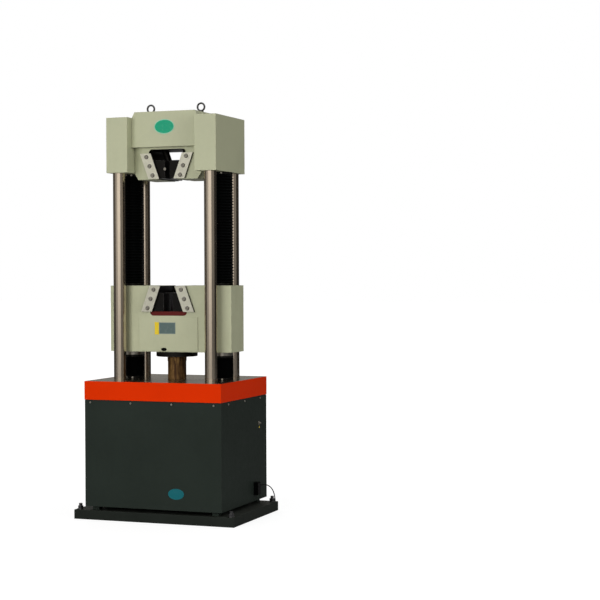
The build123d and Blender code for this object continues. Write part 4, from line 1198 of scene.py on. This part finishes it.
class MACHINE_OT_signal_cable(MachineOperator):
    """Signal cable from the gland over the base plate to its coil and plug behind the machine"""

    bl_idname = "machine.signal_cable"
    bl_label = "Signal Cable"

    # Points in mm from the gland to the coil
    route = [
        (441, 193, 165), (441, 226, 165), (446, 250, 163), (455, 276, 158), (463, 302, 146),
        (469, 326, 127), (472, 346, 102), (473, 359, 72), (472, 368, 40), (466, 374, 16),
        (450, 381, 5), (424, 388, 3.1), (396, 391.5, 3.1),
    ]
    turn_steps = 16
    into_plug = 4 * MM
    boot_length = 30 * MM
    boot_radii = (5.4 * MM, 3.5 * MM)
    boot_rib = 0.6 * MM
    boot_ribs = 5
    boot_in_gland = 6 * MM
    # The connector's front, as parts of its half length and of its radius
    plug_front = ((-0.06, 1), (0, 0.8), (0.5, 0.74), (0.82, 0.6), (1, 0.42), (1, 0))
    plug_ribs = 7

    def execute(self, context):
        settings = context.scene.machine_cable
        plug = self.plug()
        points = [Vector(p) * MM for p in self.route] + self.coil(settings)
        data = bpy.data.curves.new("signal_cable", "CURVE")
        data.dimensions = "3D"
        data.bevel_depth = settings.diameter / 2
        data.bevel_resolution = 5
        data.resolution_u = 5
        data.use_fill_caps = True
        spline = data.splines.new("NURBS")
        spline.points.add(len(points) - 1)
        for item, place in zip(spline.points, points):
            item.co = (*place, 1)
        spline.order_u = 3
        spline.use_endpoint_u = True
        data.materials.append(finish_of("jacket"))
        cable = new_object("signal_cable_run", data)
        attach(cable, "base")
        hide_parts("signal_cable", "cable_coil")
        relief = self.relief(points)
        return {"FINISHED"}

    def coil(self, settings):
        """Two flat layers: the lower winds in, the upper winds out again and leaves along X for the plug."""
        low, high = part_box("cable_coil")
        reach = (high.y - low.y) / 2
        centre = Vector((low.x + reach, low.y + reach))
        outer = reach - settings.diameter / 2
        inner = outer - settings.turns * settings.spacing
        floor = settings.diameter / 2 + settings.clearance
        points = []
        for k in range(int((2 * settings.turns + 0.5) * self.turn_steps) + 1):
            turn = k / self.turn_steps
            raised = min(max((turn - settings.turns) * 2, 0.0), 1.0)
            out = max(turn - settings.turns - 0.5, 0.0)
            radius = max(outer - turn * settings.spacing, inner) + out * settings.spacing
            angle = -math.pi / 2 - FULL_TURN * turn
            points.append(Vector((centre.x + radius * math.cos(angle), centre.y + radius * math.sin(angle),
                                  floor + raised * settings.spacing)))
        plug_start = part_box("cable_plug")[0].x
        end = points[-1]
        points += [Vector(((end.x + plug_start) / 2, end.y, end.z)),
                   Vector((plug_start + self.into_plug, end.y, end.z))]
        return points

    def relief(self, points):
        """Tapered, ribbed boot that leaves the gland with the cable."""
        steps = self.boot_ribs * 2
        wide, narrow = self.boot_radii
        profile = [(0, 0)]
        for k in range(steps + 1):
            taper = wide + (narrow - wide) * k / steps
            profile.append((self.boot_length * k / steps, taper if k % 2 == 0 else taper - self.boot_rib))
        profile.append((self.boot_length, 0))
        start = Vector((points[0].x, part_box("cable_gland")[1].y - self.boot_in_gland, points[0].z))

        def build(bm):
            lathe(bm, profile, start, (0, 1, 0), 32)

        return mesh_piece("strain_relief", build, "base", "jacket")

    def plug(self):
        """Round connector with a ribbed grip."""
        low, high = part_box("cable_plug")
        centre = (low + high) / 2
        half = (high.x - low.x) / 2
        radius = (high.z - low.z) / 2
        parts = [(-1, 0), (-1, 0.82), (-0.9, 0.86), (-0.86, 1)]
        for k in range(self.plug_ribs):
            along = -0.8 + k * 0.1
            parts += [(along, 1), (along + 0.03, 0.93), (along + 0.06, 1)]
        profile = [(half * along, radius * out) for along, out in (*parts, *self.plug_front)]

        def build(bm):
            lathe(bm, profile, centre, (-1, 0, 0), 40)

        piece = mesh_piece("cable_connector", build, "base", "zinc")
        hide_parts("cable_plug")
        return piece


class MACHINE_PT_panel(bpy.types.Panel):
    """Lists the machine's pieces and their settings"""

    bl_idname = "MACHINE_PT_panel"
    bl_label = "Testing Machine"
    bl_space_type = "VIEW_3D"
    bl_region_type = "UI"
    bl_category = "Machine"

    def draw(self, context):
        for operator in PIECES:
            self.layout.operator(operator.bl_idname)
        for name in SETTINGS:
            group = getattr(context.scene, name)
            box = self.layout.box()
            for key in setting_names(group):
                box.prop(group, key)


PIECES = (MACHINE_OT_stage, MACHINE_OT_finishes, MACHINE_OT_signal_cable, MACHINE_OT_bellows,
          MACHINE_OT_cap_screws, MACHINE_OT_jaw_screw, MACHINE_OT_ring_screws, MACHINE_OT_panel_screws,
          MACHINE_OT_badges, MACHINE_OT_plates, MACHINE_OT_oval_plug, MACHINE_OT_ground_terminal,
          MACHINE_OT_chain_rollers)
SETTINGS = {"machine_colours": MACHINE_PG_colours, "machine_fittings": MACHINE_PG_fittings,
            "machine_cable": MACHINE_PG_cable, "machine_stage": MACHINE_PG_stage}
CLASSES = (*SETTINGS.values(), *PIECES, MACHINE_PT_panel)


def register():
    for item in CLASSES:
        bpy.utils.register_class(item)
    for name, group in SETTINGS.items():
        setattr(bpy.types.Scene, name, PointerProperty(type=group))


def unregister():
    for name in SETTINGS:
        delattr(bpy.types.Scene, name)
    for item in reversed(CLASSES):
        bpy.utils.unregister_class(item)


def main():
    register()
    build_materials()
    for operator in PIECES:
        group, name = operator.bl_idname.split(".")
        getattr(getattr(bpy.ops, group), name)()


if __name__ == "__main__":
    main()
